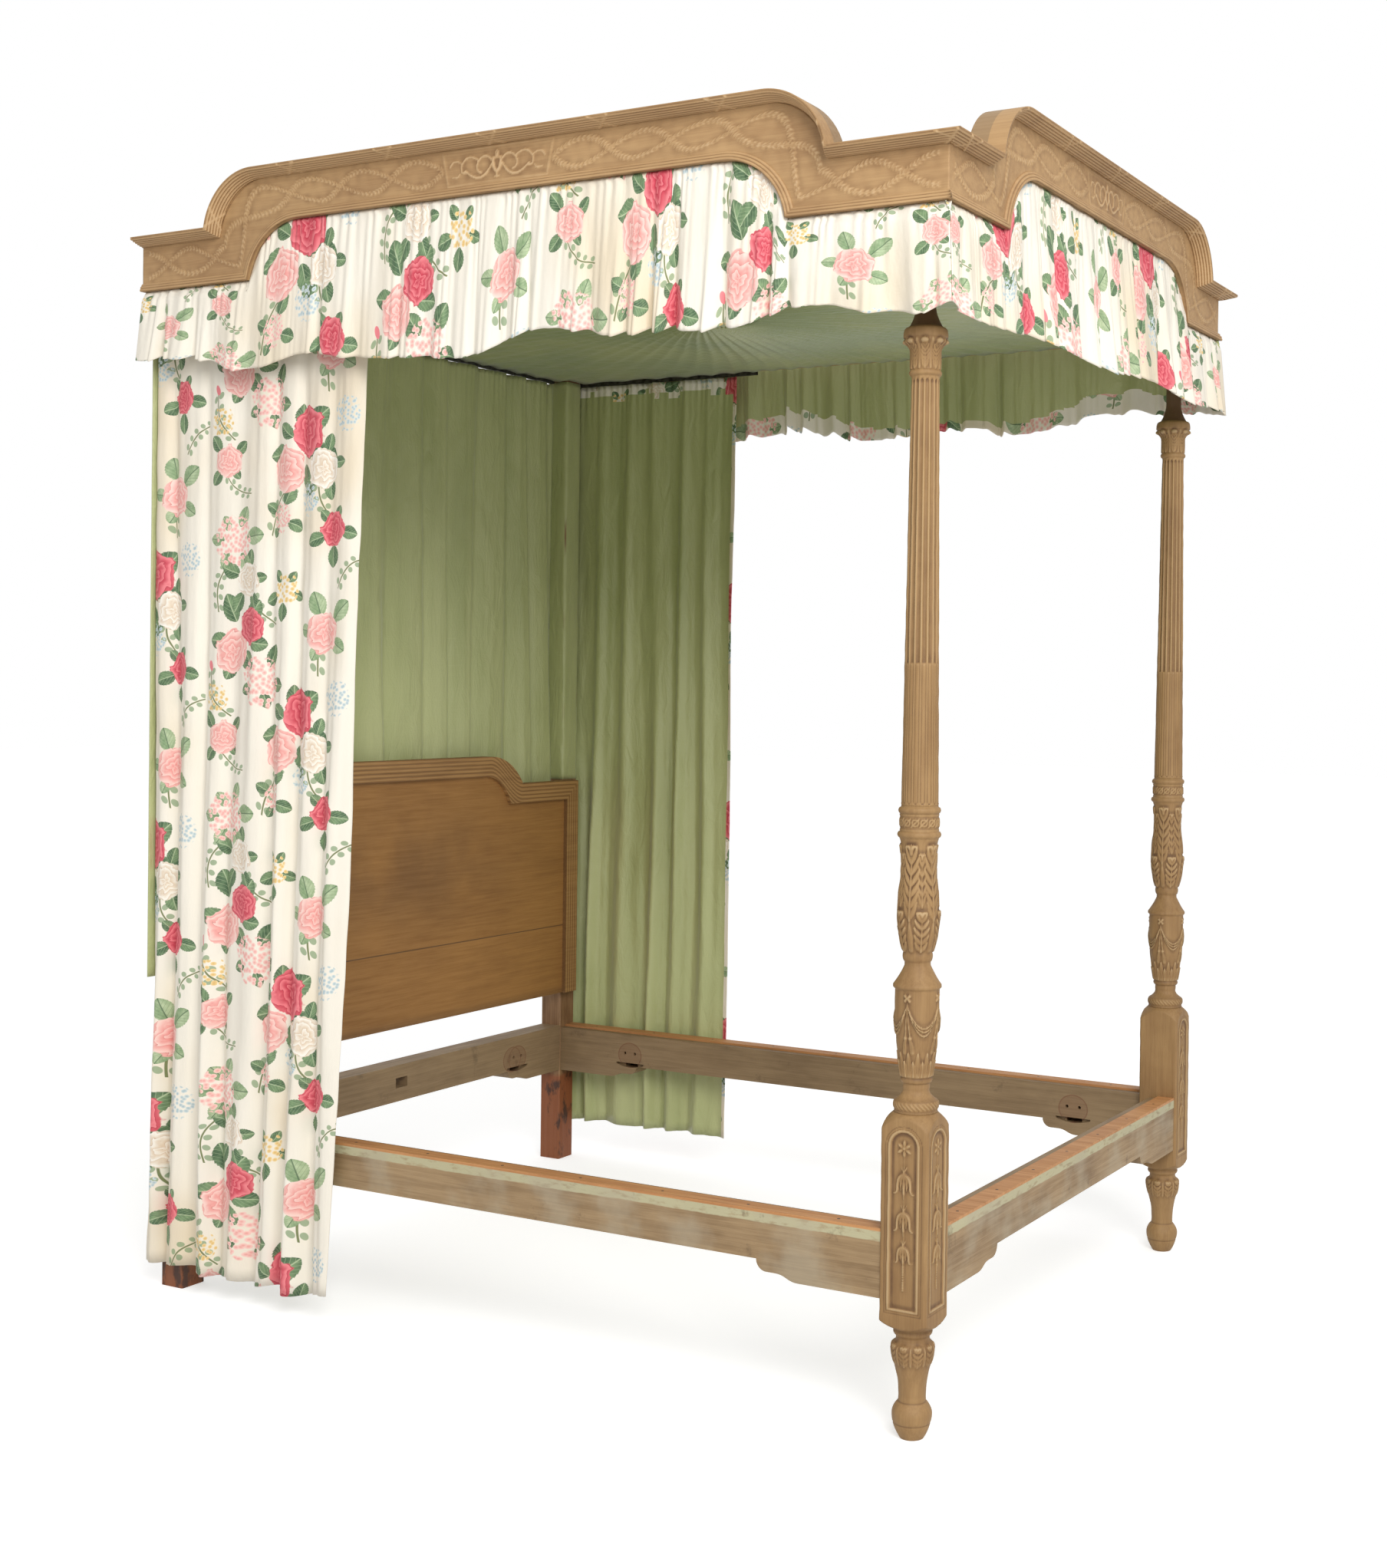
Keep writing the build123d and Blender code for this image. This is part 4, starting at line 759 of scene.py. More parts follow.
def makeFrieze(side):
    kind = "foot" if side == 0 else "side"
    c = cornice
    middleRun = (c["lowerStep"][kind] - 150) * 2
    counts = [int(n / c["column"]) for n in (330, 205, middleRun, 205, 330)]
    lower, upper, middle = cornicePaths(kind, counts)
    # near the steps the upper point falls behind the lower one, as a mitre; elsewhere it stands above it
    for run, sign in ((slice(0, counts[0]), 1), (slice(len(lower) - counts[4] - 1, len(lower)), -1)):
        total = (c["upperStep"][kind] - c["lowerStep"][kind])
        reach = np.abs(lower[run, 0] - middle) - c["lowerStep"][kind]
        upper[run, 0] = lower[run, 0] - sign * total * smooth(235, 0, reach)
    t = np.linspace(0.02, 1 - 15 / c["high"], c["rows"])[:, None]
    along = lower[None, :, 0] * (1 - t) + upper[None, :, 0] * t
    z = lower[None, :, 1] * (1 - t) + upper[None, :, 1] * t
    centre = (lower + upper) / 2
    run = np.concatenate([[0], np.cumsum(np.hypot(*np.diff(centre, axis=0).T))])
    run -= np.interp(middle, centre[:, 0], run)
    wide = np.hypot(*(upper - lower).T)
    across = (t - 0.49) * np.minimum(wide, 140)[None, :]
    half = c["tabletHalf"][kind]
    away = np.abs(run)[None, :] - half
    ovals = laurelOvals(away + 0 * across, across) * smooth(-1, 3, away) * smooth(-54, -49,
            -np.abs(across))
    # the ornament stops short of the mitre and the cut end
    last = np.minimum(run - run[0], run[-1] - run)[None, :]
    ovals = ovals * smooth(16, 24, last)
    tablet = tabletRelief(run[None, :] + 0 * across, across * 1.0, half, 41) * (away <= 0)
    height = np.maximum(ovals, tablet) + 0.12 * unevenness(3, along, z, 45)
    front = onFrieze(side, along, 0.5 + height, z)
    back = onFrieze(side, along, 0 * along - 1.5, z)
    rows, columns = along.shape
    name = {0: "foot", -1: "left", 1: "right"}[side]
    points = np.concatenate([front.reshape(-1, 3), back.reshape(-1, 3)])
    quads = gridQuads(rows, columns)
    index = np.arange(rows * columns).reshape(rows, columns)
    rim = np.concatenate([index[0, :-1], index[:-1, -1], index[-1, :0:-1], index[:0:-1, 0]])
    after = np.roll(rim, -1)
    edge = np.stack([after, rim, rim + rows * columns, after + rows * columns], axis=-1)
    every = np.concatenate([quads, quads[:, ::-1] + rows * columns, edge])
    relief = np.concatenate([np.clip(localRelief(height, 4) * 0.9, -1.5, 1.5).ravel(),
                             np.zeros(rows * columns)])
    piece = makePiece("frieze_carving_" + name, points, every, [corniceWood], relief=relief)
    return finishPiece(piece, "frame", "carved_wood")


def alongPath(path, section, inward):
    # section points (out, up) carried along a path in the frieze's plane; at each point up follows the
    # path's normal, lengthened at corners by 1 / cos(half the turn)
    step = np.diff(path, axis=0)
    step /= np.linalg.norm(step, axis=1, keepdims=True)
    before, after = np.vstack([step[:1], step]), np.vstack([step, step[-1:]])
    normal = np.stack([-(before + after)[:, 1], (before + after)[:, 0]], 1)
    length = np.linalg.norm(normal, axis=1, keepdims=True)
    normal = normal / length * np.minimum(2 / length, 1.5)
    place = path[:, None, :] + normal[:, None, :] * section[None, :, 1:2] * inward
    return place, section[None, :, 0] + 0 * place[:, :, 0]


def makeReeded(side, which):
    # crown or lower moulding: a closed section carried along the edge, its face cut into reeds, and on
    # the crown a crossed ribbon every tiePitch
    c = cornice
    kind = "foot" if side == 0 else "side"
    crown = which == "crown"
    over = c["crownOut"] if crown else c["lowerOut"]
    gap = 5.0 if crown else 9.0
    starts = (-c["friezeX"] - over, c["friezeX"] + over) if kind == "foot" else (c["friezeY"] - over,
            c["end"])
    middleRun = (c["lowerStep"][kind] - 150) * 2
    counts = [int(n / gap) for n in (330, 210, middleRun, 210, 330)]
    lower, upper, middle = cornicePaths(kind, counts, *starts)
    path = upper if crown else lower
    run = np.concatenate([[0], np.cumsum(np.hypot(*np.diff(path, axis=0).T))])
    run -= np.interp(middle, path[:, 0], run)
    w = np.linspace(0, 1, 43 if crown else 25)
    if crown:  # from under the frieze's edge out to the lip, a shallow hollow
        out, up = w * c["crownOut"], -c["crownHigh"] + (c["crownHigh"] - c["crownLip"]) * w ** 1.35
        reeds = c["reedHigh"] * np.abs(np.sin(math.pi * c["reeds"] * w)) * (0.4 + 0.6 * smooth(0, 0.15,
                w))
        tie = (np.abs(run) + c["tiePitch"] / 2) % c["tiePitch"] - c["tiePitch"] / 2
        cross = np.minimum(np.abs(tie[:, None] - (w[None, :] - 0.5) * 46),
                           np.abs(tie[:, None] + (w[None, :] - 0.5) * 46))
        ribbon = 2.6 * dome(cross, 4.6)
        raised = np.maximum(reeds[None, :], ribbon)
    else:
        out, up = c["lowerOut"] * (1 - w ** 2.2), c["lowerHigh"] * w
        raised = 1.5 * np.abs(np.sin(math.pi * 3 * w))[None, :] + 0 * run[:, None]
    face = np.stack([out, up], 1)
    tangent = np.gradient(face, axis=0)
    tangent /= np.linalg.norm(tangent, axis=1, keepdims=True)
    outward = np.stack([tangent[:, 1], -tangent[:, 0]], 1)
    if not crown:
        outward = -outward if outward[0, 0] < 0 else outward
    place, _ = alongPath(path, face, 1)
    lift = outward[None, :, :] * (raised * smooth(0, 0.03, w) * smooth(1, 0.97, w))[:, :, None]
    step = np.diff(path, axis=0)
    step /= np.linalg.norm(step, axis=1, keepdims=True)
    before, after = np.vstack([step[:1], step]), np.vstack([step, step[-1:]])
    normal = np.stack([-(before + after)[:, 1], (before + after)[:, 0]], 1)
    normal /= np.linalg.norm(normal, axis=1, keepdims=True)
    place = place + normal[:, None, :] * lift[:, :, 1:2]
    outs = face[None, :, 0] + lift[:, :, 0]
    back, _ = alongPath(path, np.array([(-1.0, 0.0), (-1.0, face[0, 1] if crown else face[-1, 1])]), 1)
    top, _ = alongPath(path, np.array([(face[-1, 0], 0.0)]), 1)
    if crown:
        ring = np.concatenate([place, top, back[:, :1], back[:, 1:]], axis=1)
        ringOut = np.concatenate([outs, np.full((len(path), 1), c["crownOut"]),
                                  np.full((len(path), 2), -1.0)], axis=1)
    else:
        ring = np.concatenate([place, back[:, 1:], back[:, :1]], axis=1)
        ringOut = np.concatenate([outs, np.full((len(path), 2), -1.0)], axis=1)
    # the two foot corners are cut on the mitre: no point goes past the line at 45 degrees
    along = ring[:, :, 0]
    if kind == "foot":
        limit = c["friezeX"] + ringOut
        along = np.clip(along, -limit, limit)
    else:
        along = np.maximum(along, c["friezeY"] - ringOut)
    points = onFrieze(side, along, ringOut, ring[:, :, 1])
    n, m = along.shape
    quads = gridQuads(n, m, closeColumns=True)
    caps = [np.arange(m), np.arange(m)[::-1] + (n - 1) * m]
    relief = np.concatenate([np.clip(raised - 0.9, -1, 1.2), np.zeros((n, m - raised.shape[1]))], axis=1)
    name = {0: "foot", -1: "left", 1: "right"}[side]
    piece = makePiece(("crown_" if crown else "lower_reeds_") + name, points, quads, [corniceWood],
                      relief=relief, caps=caps, sharp=50)
    node = ("crown_moulding_" if crown else "lower_moulding_") + name
    return finishPiece(piece, "frame", "carved_wood", node)


# The hangings
curtain = {
    "edgeTop": 606.0, "edgeLeft": 531.0, "edgeRight": 575.0, "headY": 1025.0, "pastPost": 53.0,
    "top": 2426.0, "hemLeft": 62.0, "hemRight": 112.0, "trackX": 819.5, "straight": 2230.0,
    "middle": 1200.0,
    "swingMiddle": 10.0, "swingLow": 15.0, "wave": (5.8, 7.0, 16.0, 21.0), "folds": 6.4, "thick": 2.4,
    "rows": 84, "columns": 320, "postClear": 811.5, "heading": 36.0, "border": 13.0,
}
valance = {
    "inFrieze": 5.5, "bottom": 2236.0, "flare": 24.0, "bigFold": 88.0, "gather": 25.0, "thick": 2.2,
    "column": 3.5, "rows": 46, "hem": 74.0, "headGap": 7.0, "uneven": 20.0, "cornerFade": 45.0,
}
headCloth = {
    "y": 1037.0, "right": 731.0, "left": -679.0, "top": 2427.0, "hem": 764.0, "wave": (9.5, 17.0),
    "folds": 11.0,
    "tail": ((-721.0, 1067.5), (-770.0, 1070.5), (-833.5, 1089.5)), "thick": 2.2, "rows": 72,
    "columns": 380,
}
lining = {"z": 2438.4, "x": 807.5, "first": -1035.5, "last": 1030.6, "pleats": 84, "pleatHigh": 7.0,
          "thick": 1.6, "inner": 128.0, "centre": (0.0, 25.0), "notchX": 731.5, "notchY": 986.5}
rosette = {"radius": 133.0, "top": 2438.0, "drop": 15.0, "button": 21.0, "pleats": 48, "thick": 1.6}
sleeve = {"half": 37.6, "x": 770.0, "y": 1025.0, "low": 1192.0, "high": 2434.0, "thick": 1.3,
          "round": 7.0}


def makeCloth(name, face, thick, materials, uv, body, slotName, nodes, backKind=None):
    # a sheet with a front, a back and an edge
    points, quads, kind = twoLayers(face, thick)
    if backKind is not None:
        n = (face.shape[0] - 1) * (face.shape[1] - 1)
        kind[n:2 * n] = backKind.ravel()
    both = np.concatenate([uv.reshape(-1, 2), uv.reshape(-1, 2)])
    piece = makePiece(name, points * mm, quads, materials, uv=both, kind=kind)
    finishPiece(piece, body, slotName, *nodes)
    return piece


def clothPlaces(face, row):
    # metres along the cloth at one row, and metres down it: the same for every row and column
    along = np.concatenate([[0], np.cumsum(np.linalg.norm(np.diff(face[row], axis=0), axis=-1))]) * mm
    down = np.concatenate([[0], np.cumsum(np.linalg.norm(np.diff(face, axis=0), axis=-1).mean(1))]) * mm
    return np.stack(np.broadcast_arrays(along[None, :], -down[:, None]), axis=-1)


def makeCurtain(side):
    # folds are sines of an uneven phase: out = middle + 0.92 wave depth (sin p + 0.26 sin 2p +
    # 0.12 sin 3p), deeper towards the hem, with fine gathers under the heading
    c = curtain
    hem, edge = (c["hemLeft"], c["edgeLeft"]) if side < 0 else (c["hemRight"], c["edgeRight"])
    t = np.linspace(0, 1, c["rows"])[:, None] ** 1.15
    s = np.linspace(0, 1, c["columns"])[None, :]
    seed = 11 if side < 0 else 29
    z = c["top"] + (hem - c["top"]) * t + 7 * t * unevenness(seed, s * 1000, 0, 420)
    start = c["headY"] - (c["edgeTop"] + (edge - c["edgeTop"]) * t)
    along = start + (c["headY"] + c["pastPost"] - start) * s
    levels = [hem, c["middle"], c["straight"], c["top"]]
    swing = np.interp(z, levels, [c["swingLow"], c["swingMiddle"], 0, 0])
    wave = np.interp(z, levels, c["wave"][::-1])
    drift = unevenness(seed + 1, s * 1000, z * 0.16, 520)
    phase = tau * (c["folds"] * s + 0.16 * drift + 0.10 * np.sin(tau * 1.4 * s + seed))
    depth = 0.80 + 0.28 * unevenness(seed + 2, s * 1000, z * 0.22, 360)
    fold = depth * (np.sin(phase) + 0.26 * np.sin(2 * phase + 0.9) + 0.12 * np.sin(3 * phase + 2.0 + t))
    gathers = 1.9 * np.sin(tau * 31 * s + 2 * drift) * np.exp(-t / 0.035) + 0.7 * np.sin(tau * 17 * s
            + drift) * np.exp(-t / 0.2)
    creases = 0.9 * unevenness(seed + 3, along * 2.2, z, 170, 8)
    middle = c["trackX"] + swing
    out = middle + wave * 0.92 * fold + gathers + creases * smooth(0, 0.1, t)
    nearPost = smooth(970, 985, along)
    out = np.where(nearPost > 0, np.maximum(out, c["postClear"]), out)
    along = along + 0.22 * wave * np.cos(phase) * np.sin(math.pi * s)
    face = np.stack([side * out, along, z + 0 * s], axis=-1)
    if side > 0:  # the front of the cloth looks away from the bed on both sides
        face = face[:, ::-1]
    uv = clothPlaces(face, c["rows"] // 2)
    back = np.ones((c["rows"] - 1, c["columns"] - 1))
    downMm = (c["top"] - z[:-1, 0])[:, None]
    upMm = (z[:-1, 0] - hem)[:, None]
    edgeMm = (along - start)[:-1, :-1] if side < 0 else (along - start)[:-1, ::-1][:, :-1]
    heading = c["heading"] if side > 0 else 4.0
    frill = heading * (0.75 + 0.25 * np.sin(edgeMm / 31) + 0.15 * np.sin(edgeMm / 11))
    back[(downMm < frill) | (upMm < c["border"] * 1.8 + 0 * edgeMm) | (edgeMm < c["border"])] = 0
    name = "left" if side < 0 else "right"
    return makeCloth("hanging_" + name, face, c["thick"], [chintz, silk, chintz], uv,
                     "curtain_" + name + "_body", "chintz", ["curtain_" + name],
                     backKind=back)


def lowerEdgeLevel(kind, along):
    # the frieze's lower edge over a place along it: base, quarter turn up, level, quarter turn down
    c = cornice
    middle = 0.0 if kind == "foot" else c["middleY"]
    across = math.sqrt(c["lowerRadius"] ** 2 - (c["lowerRadius"] - c["lowerRise"]) ** 2)
    inside = c["lowerStep"][kind] - np.abs(along - middle)
    x = np.clip(across - inside, 0, across)
    rise = c["lowerRise"] - c["lowerRadius"] + np.sqrt(c["lowerRadius"] ** 2 - x ** 2)
    return c["bottom"] + np.where(inside > 0, rise, 0)


def makeValance(side):
    # gathers that die out downwards and broad folds that grow: out = middle + flare t + big folds +
    # gathers e^(-t / 0.3); the top follows the frieze's lower edge
    v, c = valance, cornice
    kind = "foot" if side == 0 else "side"
    seed = {0: 41, -1: 53, 1: 67}[side]
    half = c["friezeX"] - v["inFrieze"]
    start, end = (-half, half) if side == 0 else (c["friezeY"] + v["inFrieze"], c["end"] - v["headGap"])
    middle = 0.0 if side == 0 else c["middleY"]
    base = np.arange(start, end, v["column"])
    steps = [middle + w * (c["lowerStep"][kind] - d) for w in (-1, 1) for d in (0.0, 0.3, 1.0, 2.0, 4.0)]
    base = np.unique(np.concatenate([base, [end], steps]))[None, :]
    t = np.linspace(0, 1, v["rows"])[:, None]
    top = lowerEdgeLevel(kind, base) - 0.8
    slow = unevenness(seed, base, 0, 420)
    phase = tau * (base / v["bigFold"] + 0.42 * slow + 0.18 * unevenness(seed + 1, base, 0, 160))
    strength = np.clip(0.62 + 0.45 * unevenness(seed + 2, base, 0, 330), 0.12, 1.2)
    drop = (top - v["bottom"]) / 331.0
    share = t * drop + (1 - drop)
    big = strength * (np.sin(phase + 0.35 * t) + 0.34 * np.sin(2 * phase + 1.3 + 0.5 * t) + 0.16
                      * np.sin(3 * phase + 0.4))
    big = big * (1.2 + 15.0 * t ** 1.25)
    fine = np.sin(tau * (base / v["gather"] + 0.5 * unevenness(seed + 3, base, 0, 90)))
    fine = fine * (2.5 * np.exp(-t / 0.30) + 0.8) * (0.7 + 0.3 * unevenness(seed + 4, base, t * 90, 70))
    # folds and hem die out at the ends that meet at a foot corner
    fade = v["cornerFade"]
    corner = smooth(0, fade, base - start) * (smooth(0, fade, end - base) if side == 0 else 1.0)
    big, fine = big * corner, fine * corner
    wander = v["uneven"] * corner * unevenness(seed + 5, base, 0, 520)
    hemLine = v["bottom"] + wander - 0.55 * (big[-1:] if big.shape[0] > 1 else 0)
    z = top + (hemLine - top) * t
    out = -v["inFrieze"] + v["flare"] * share * smooth(0, 0.15, t) + big + fine * smooth(0, 0.02,
            t) + 1.2 * (t > 0)
    piping = 1.6 * dome((top - z) - 9, 2.6)
    out = np.maximum(out + piping, -v["inFrieze"] - 11)
    ease = np.sin(math.pi * (base - start) / (end - start))
    along = base + 0.30 * big * np.cos(phase) * np.minimum(1, 6 * ease)
    if side == 0:
        along = along * (1 + v["flare"] * share / half)
        face = np.stack([along, c["friezeY"] - out, z + 0 * base], axis=-1)
    else:
        along = along - v["flare"] * share * smooth(260, 0, base - start)
        face = np.stack([side * (c["friezeX"] + out), along, z + 0 * base], axis=-1)
    if side >= 0:  # here the rows would face the bed, so they are turned round
        face = face[:, ::-1]
    uv = clothPlaces(face, v["rows"] - 8) + [0.13 * side, 0]
    # on the inside the printed cloth is turned up as a hem and shows as a strip at the top of it
    up = (z - hemLine)[:-1, :-1]
    back = np.where(up < v["hem"] * (0.55 + 0.25 * np.sin(base[:, :-1] / 170)), 0.0, 1.0)
    if side >= 0:
        back = back[:, ::-1]
    name = {0: "foot", -1: "left", 1: "right"}[side]
    return makeCloth("gathered_valance_" + name, face, v["thick"], [chintz, silk, chintz], uv, "frame",
                     "chintz", ["valance_" + name], backKind=back)


def makeHeadCloth():
    # the same uneven folds along a line that runs across the head and swings out behind the left post
    h = headCloth
    corners = np.array([(h["right"], h["y"]), (h["left"], h["y"]), *h["tail"]])
    run = np.concatenate([[0], np.cumsum(np.hypot(*np.diff(corners, axis=0).T))])
    s = np.linspace(0, run[-1], h["columns"])
    line = np.stack([np.interp(s, run, corners[:, 0]), np.interp(s, run, corners[:, 1])], 1)
    for _ in range(6):
        line[1:-1] = (line[:-2] + 2 * line[1:-1] + line[2:]) / 4
    across = np.gradient(line, axis=0)
    across /= np.linalg.norm(across, axis=1, keepdims=True)
    outward = np.stack([-across[:, 1], across[:, 0]], 1)
    t = np.linspace(0, 1, h["rows"])[:, None] ** 1.1
    z = h["top"] + (h["hem"] - h["top"]) * t + 6 * t * unevenness(83, s[None, :], 0, 400)
    folded = smooth(run[1] + 4, run[1] - 30, s)[None, :]
    drift = unevenness(84, s[None, :], z * 0.12, 480)
    phase = tau * (s[None, :] / run[1] * h["folds"] + 0.24 * drift)
    wave = h["wave"][0] + (h["wave"][1] - h["wave"][0]) * t
    depth = 0.78 + 0.26 * unevenness(85, s[None, :], z * 0.2, 330)
    fold = wave * depth * (np.sin(phase) + 0.3 * np.sin(2 * phase + 0.7) + 0.14 * np.sin(3 * phase + 1.4))
    gathers = 2.4 * np.sin(tau * s[None, :] / 19 + drift) * np.exp(-t / 0.035) + 0.9 * np.sin(tau
            * s[None, :] / 34 + drift) * np.exp(-t / 0.22)
    creases = 0.8 * unevenness(86, s[None, :] * 2, z, 160, 8)
    off = (fold + gathers) * (0.12 + 0.88 * folded) + creases * smooth(0, 0.1, t) * (0.3 + 0.7 * folded)
    face = np.concatenate([line[None] + outward[None] * off[..., None], z[..., None]], axis=-1)
    uv = clothPlaces(face, h["rows"] // 2)
    return makeCloth("hanging_head", face, h["thick"], [silk, silk, silk], uv, "frame", "green_silk",
                     ["head_cloth"])


def makeLining():
    # rays from the rosette to the edge of the tester; pleats hang below: z = top - high (1 - 2 |saw|)^1.6 of
    # an uneven angle, fading outwards
    n = lining
    columns = n["pleats"] * 8
    theta = (np.arange(columns) / columns * tau)[None, :]
    cx, cy = n["centre"]
    dx, dy = np.cos(theta), np.sin(theta)
    wallX = n["x"] / np.maximum(np.abs(dx), 1e-6)
    wallY = np.where(dy > 0, (n["last"] - cy) / np.maximum(dy, 1e-6),
                     (n["first"] - cy) / np.minimum(dy, -1e-6))
    reach = np.minimum(wallX, wallY)
    notch = np.maximum(n["notchX"] / np.maximum(np.abs(dx), 1e-6),
                       (n["notchY"] - cy) / np.maximum(dy, 1e-6))
    reach = np.where((dy > 0) & (notch < reach), notch, reach)
    t = np.linspace(0, 1, 26)[:, None] ** 1.3
    r = n["inner"] + (reach - n["inner"]) * t
    uneven = 0.30 * unevenness(91, theta * 300, r * 0.25, 420)
    share = np.abs(((theta / tau * n["pleats"] + uneven * (1 - 0.3 * t)) % 1.0) - 0.35)
    pleat = np.clip(1 - share / 0.5, 0, 1) ** 1.6
    z = n["z"] - n["pleatHigh"] * pleat * (1 - 0.35 * t) - 0.8 * (1 + unevenness(92, r * dx, r * dy, 500))
    z = np.minimum(z, n["z"] - 0.2)
    face = np.stack([cx + r * dx, cy + r * dy, z], axis=-1)
    face = np.concatenate([face, face[:, :1]], axis=1)
    uv = np.stack([face[..., 0], face[..., 1]], axis=-1) * mm
    return closedRays("pleated_lining", face, n["thick"], [liningSilk], uv, "tester_lining")


def closedRays(name, face, thick, materials, uv, node):
    # a sheet whose rows are rings: a lower and an upper layer thick apart, joined at both rims
    lower, upper = face[:, :-1], face[:, :-1] + [0, 0, thick]
    rows, columns = lower.shape[:2]
    n = rows * columns
    points = np.concatenate([lower.reshape(-1, 3), upper.reshape(-1, 3)])
    faces = gridQuads(rows, columns, closeColumns=True)
    ring = np.arange(columns)
    after = np.roll(ring, -1)
    last = (rows - 1) * columns
    inner = np.stack([after, ring, ring + n, after + n], axis=-1)
    outer = np.stack([ring + last, after + last, after + last + n, ring + last + n], axis=-1)
    quads = np.concatenate([faces, faces[:, ::-1] + n, inner, outer])
    both = np.concatenate([uv[:, :-1].reshape(-1, 2)] * 2)
    piece = makePiece(name, points * mm, quads, materials, uv=both)
    finishPiece(piece, "frame", "green_silk", node)
    return piece


def makeRosette():
    # pleats drawn in to a covered button: z falls towards the middle by drop * (1 - r / R)^1.4
    n = rosette
    columns = n["pleats"] * 10
    theta = (np.arange(columns + 1) / columns * tau)[None, :]
    t = np.linspace(0, 1, 26)[:, None]
    r = n["button"] * 0.72 + (n["radius"] - n["button"] * 0.72) * t
    cx, cy = lining["centre"]
    wave = np.abs(np.sin(theta * n["pleats"] / 2 + 0.5 * np.sin(3 * theta)))
    z = n["top"] - 1.2 - n["drop"] * (1 - t) ** 1.4 - 3.4 * (1 - wave) * np.sqrt(r / n["radius"])
    face = np.stack([cx + r * np.cos(theta), cy + r * np.sin(theta), z + 0 * theta], axis=-1)
    uv = np.stack([face[..., 0], face[..., 1]], axis=-1) * mm
    piece = closedRays("gathered_rosette", face, n["thick"], [liningSilk], uv, "tester_rosette")
    angle = (np.arange(36) / 36 * tau)[None, :]
    share = np.linspace(0.02, 1, 12)[:, None]
    turn = share * math.pi * 0.98
    rb, zb = n["button"] * np.sin(turn), n["top"] - n["drop"] - 1.5 - 5.5 * np.cos(math.pi - turn)
    dots = np.stack([cx + rb * np.cos(angle), cy + rb * np.sin(angle), zb + 0 * angle], axis=-1) * mm
    caps = [np.arange(36)[::-1], np.arange(36) + 11 * 36]
    uvButton = np.stack([dots[..., 0], dots[..., 1]], axis=-1)
    button = makePiece("rosette_button", dots, gridQuads(12, 36, closeColumns=True), [liningSilk],
                       uv=uvButton, caps=caps)
    finishPiece(button, "frame", "green_silk", "tester_rosette")
    return piece


def makeSleeve(side):
    # a round-cornered square tube of silk, |x|^n + |y|^n = half^n, with slack wrinkles
    n = sleeve
    theta = (np.arange(97) / 96 * tau)[None, :]
    z = np.linspace(n["high"], n["low"], 90)[:, None]
    power = 9.0
    radius = n["half"] / (np.abs(np.cos(theta)) ** power + np.abs(np.sin(theta)) ** power) ** (1 / power)
    corner = n["half"] * math.sqrt(2) - n["round"] * 0.45
    slack = 0.35 * (1 + unevenness(97 if side < 0 else 98, theta * 60, z * 0.35, 90, 8))
    radius = np.minimum(radius, corner) + slack
    face = np.stack([side * n["x"] + radius * np.cos(theta), n["y"] + radius * np.sin(theta),
                     z + 0 * theta], axis=-1)
    inner = np.stack([side * n["x"] + (radius - n["thick"]) * np.cos(theta),
                      n["y"] + (radius - n["thick"]) * np.sin(theta), z + 0 * theta], axis=-1)
    rows, columns = 90, 96
    points = np.concatenate([face[:, :-1].reshape(-1, 3), inner[:, :-1].reshape(-1, 3)])
    count = rows * columns
    faces = gridQuads(rows, columns, closeColumns=True)
    ring = np.arange(columns)
    after, last = np.roll(ring, -1), (rows - 1) * columns
    ends = [np.stack([after, ring, ring + count, after + count], axis=-1),
            np.stack([ring + last, after + last, after + last + count, ring + last + count], axis=-1)]
    uv = np.stack(np.broadcast_arrays(theta[:, :-1] / tau * 0.302, z * mm), axis=-1)
    name = "left" if side < 0 else "right"
    piece = makePiece("silk_sleeve_" + name, points * mm,
                      np.concatenate([faces, faces[:, ::-1] + count,
                                      *ends]), [silk], uv=np.concatenate([uv.reshape(-1, 2)] * 2))
    finishPiece(piece, "frame", "green_silk", "post_sleeve_" + name)
    return piece


# Printed chintz: one repeat holds bunches of roses, sprays of leaves and small sprigs
chintzPrint = {
    "repeatWide": 0.56, "repeatHigh": 0.66, "ground": paint(244, 237, 222),
    "groundShade": paint(232, 217, 190),
    "pink": paint(238, 158, 150), "pinkPale": paint(250, 214, 203), "crimson": paint(196, 50, 72),
    "crimsonPale": paint(238, 132, 138), "white": paint(250, 244, 232),
    "whiteShade": paint(226, 205, 178),
    "leafDark": paint(62, 92, 62), "leafLight": paint(128, 156, 112), "vein": paint(190, 205, 165),
    "stem": paint(120, 128, 84), "blue": paint(158, 184, 192), "bluePale": paint(222, 228, 224),
    "ochre": paint(222, 178, 98), "ochrePale": paint(246, 222, 168),
}


def makeRepeatGroup():
    # metres of cloth to a place in a half-drop repeat: each column of repeats starts half a repeat lower
    p = chintzPrint
    group, given, made = newGroup("halfDropRepeat", [("Vector", "vector", None)], [("Vector", "vector")])
    apart = axes(group, given["Vector"])
    wobble = noise(group, given["Vector"], 5.0, 1.0)
    x = plus(group, apart[0], times(group, wobble, 0.02))
    share = divided(group, x, p["repeatWide"])
    column = calc(group, "FLOOR", share)
    inside = times(group, calc(group, "FRACT", share), p["repeatWide"])
    drop = plus(group, apart[1], times(group, column, p["repeatHigh"] * 0.5))
    joined = addNode(group, "ShaderNodeCombineXYZ", {"X": inside, "Y": drop})
    group.links.new(joined.outputs[0], made["Vector"])
    return group


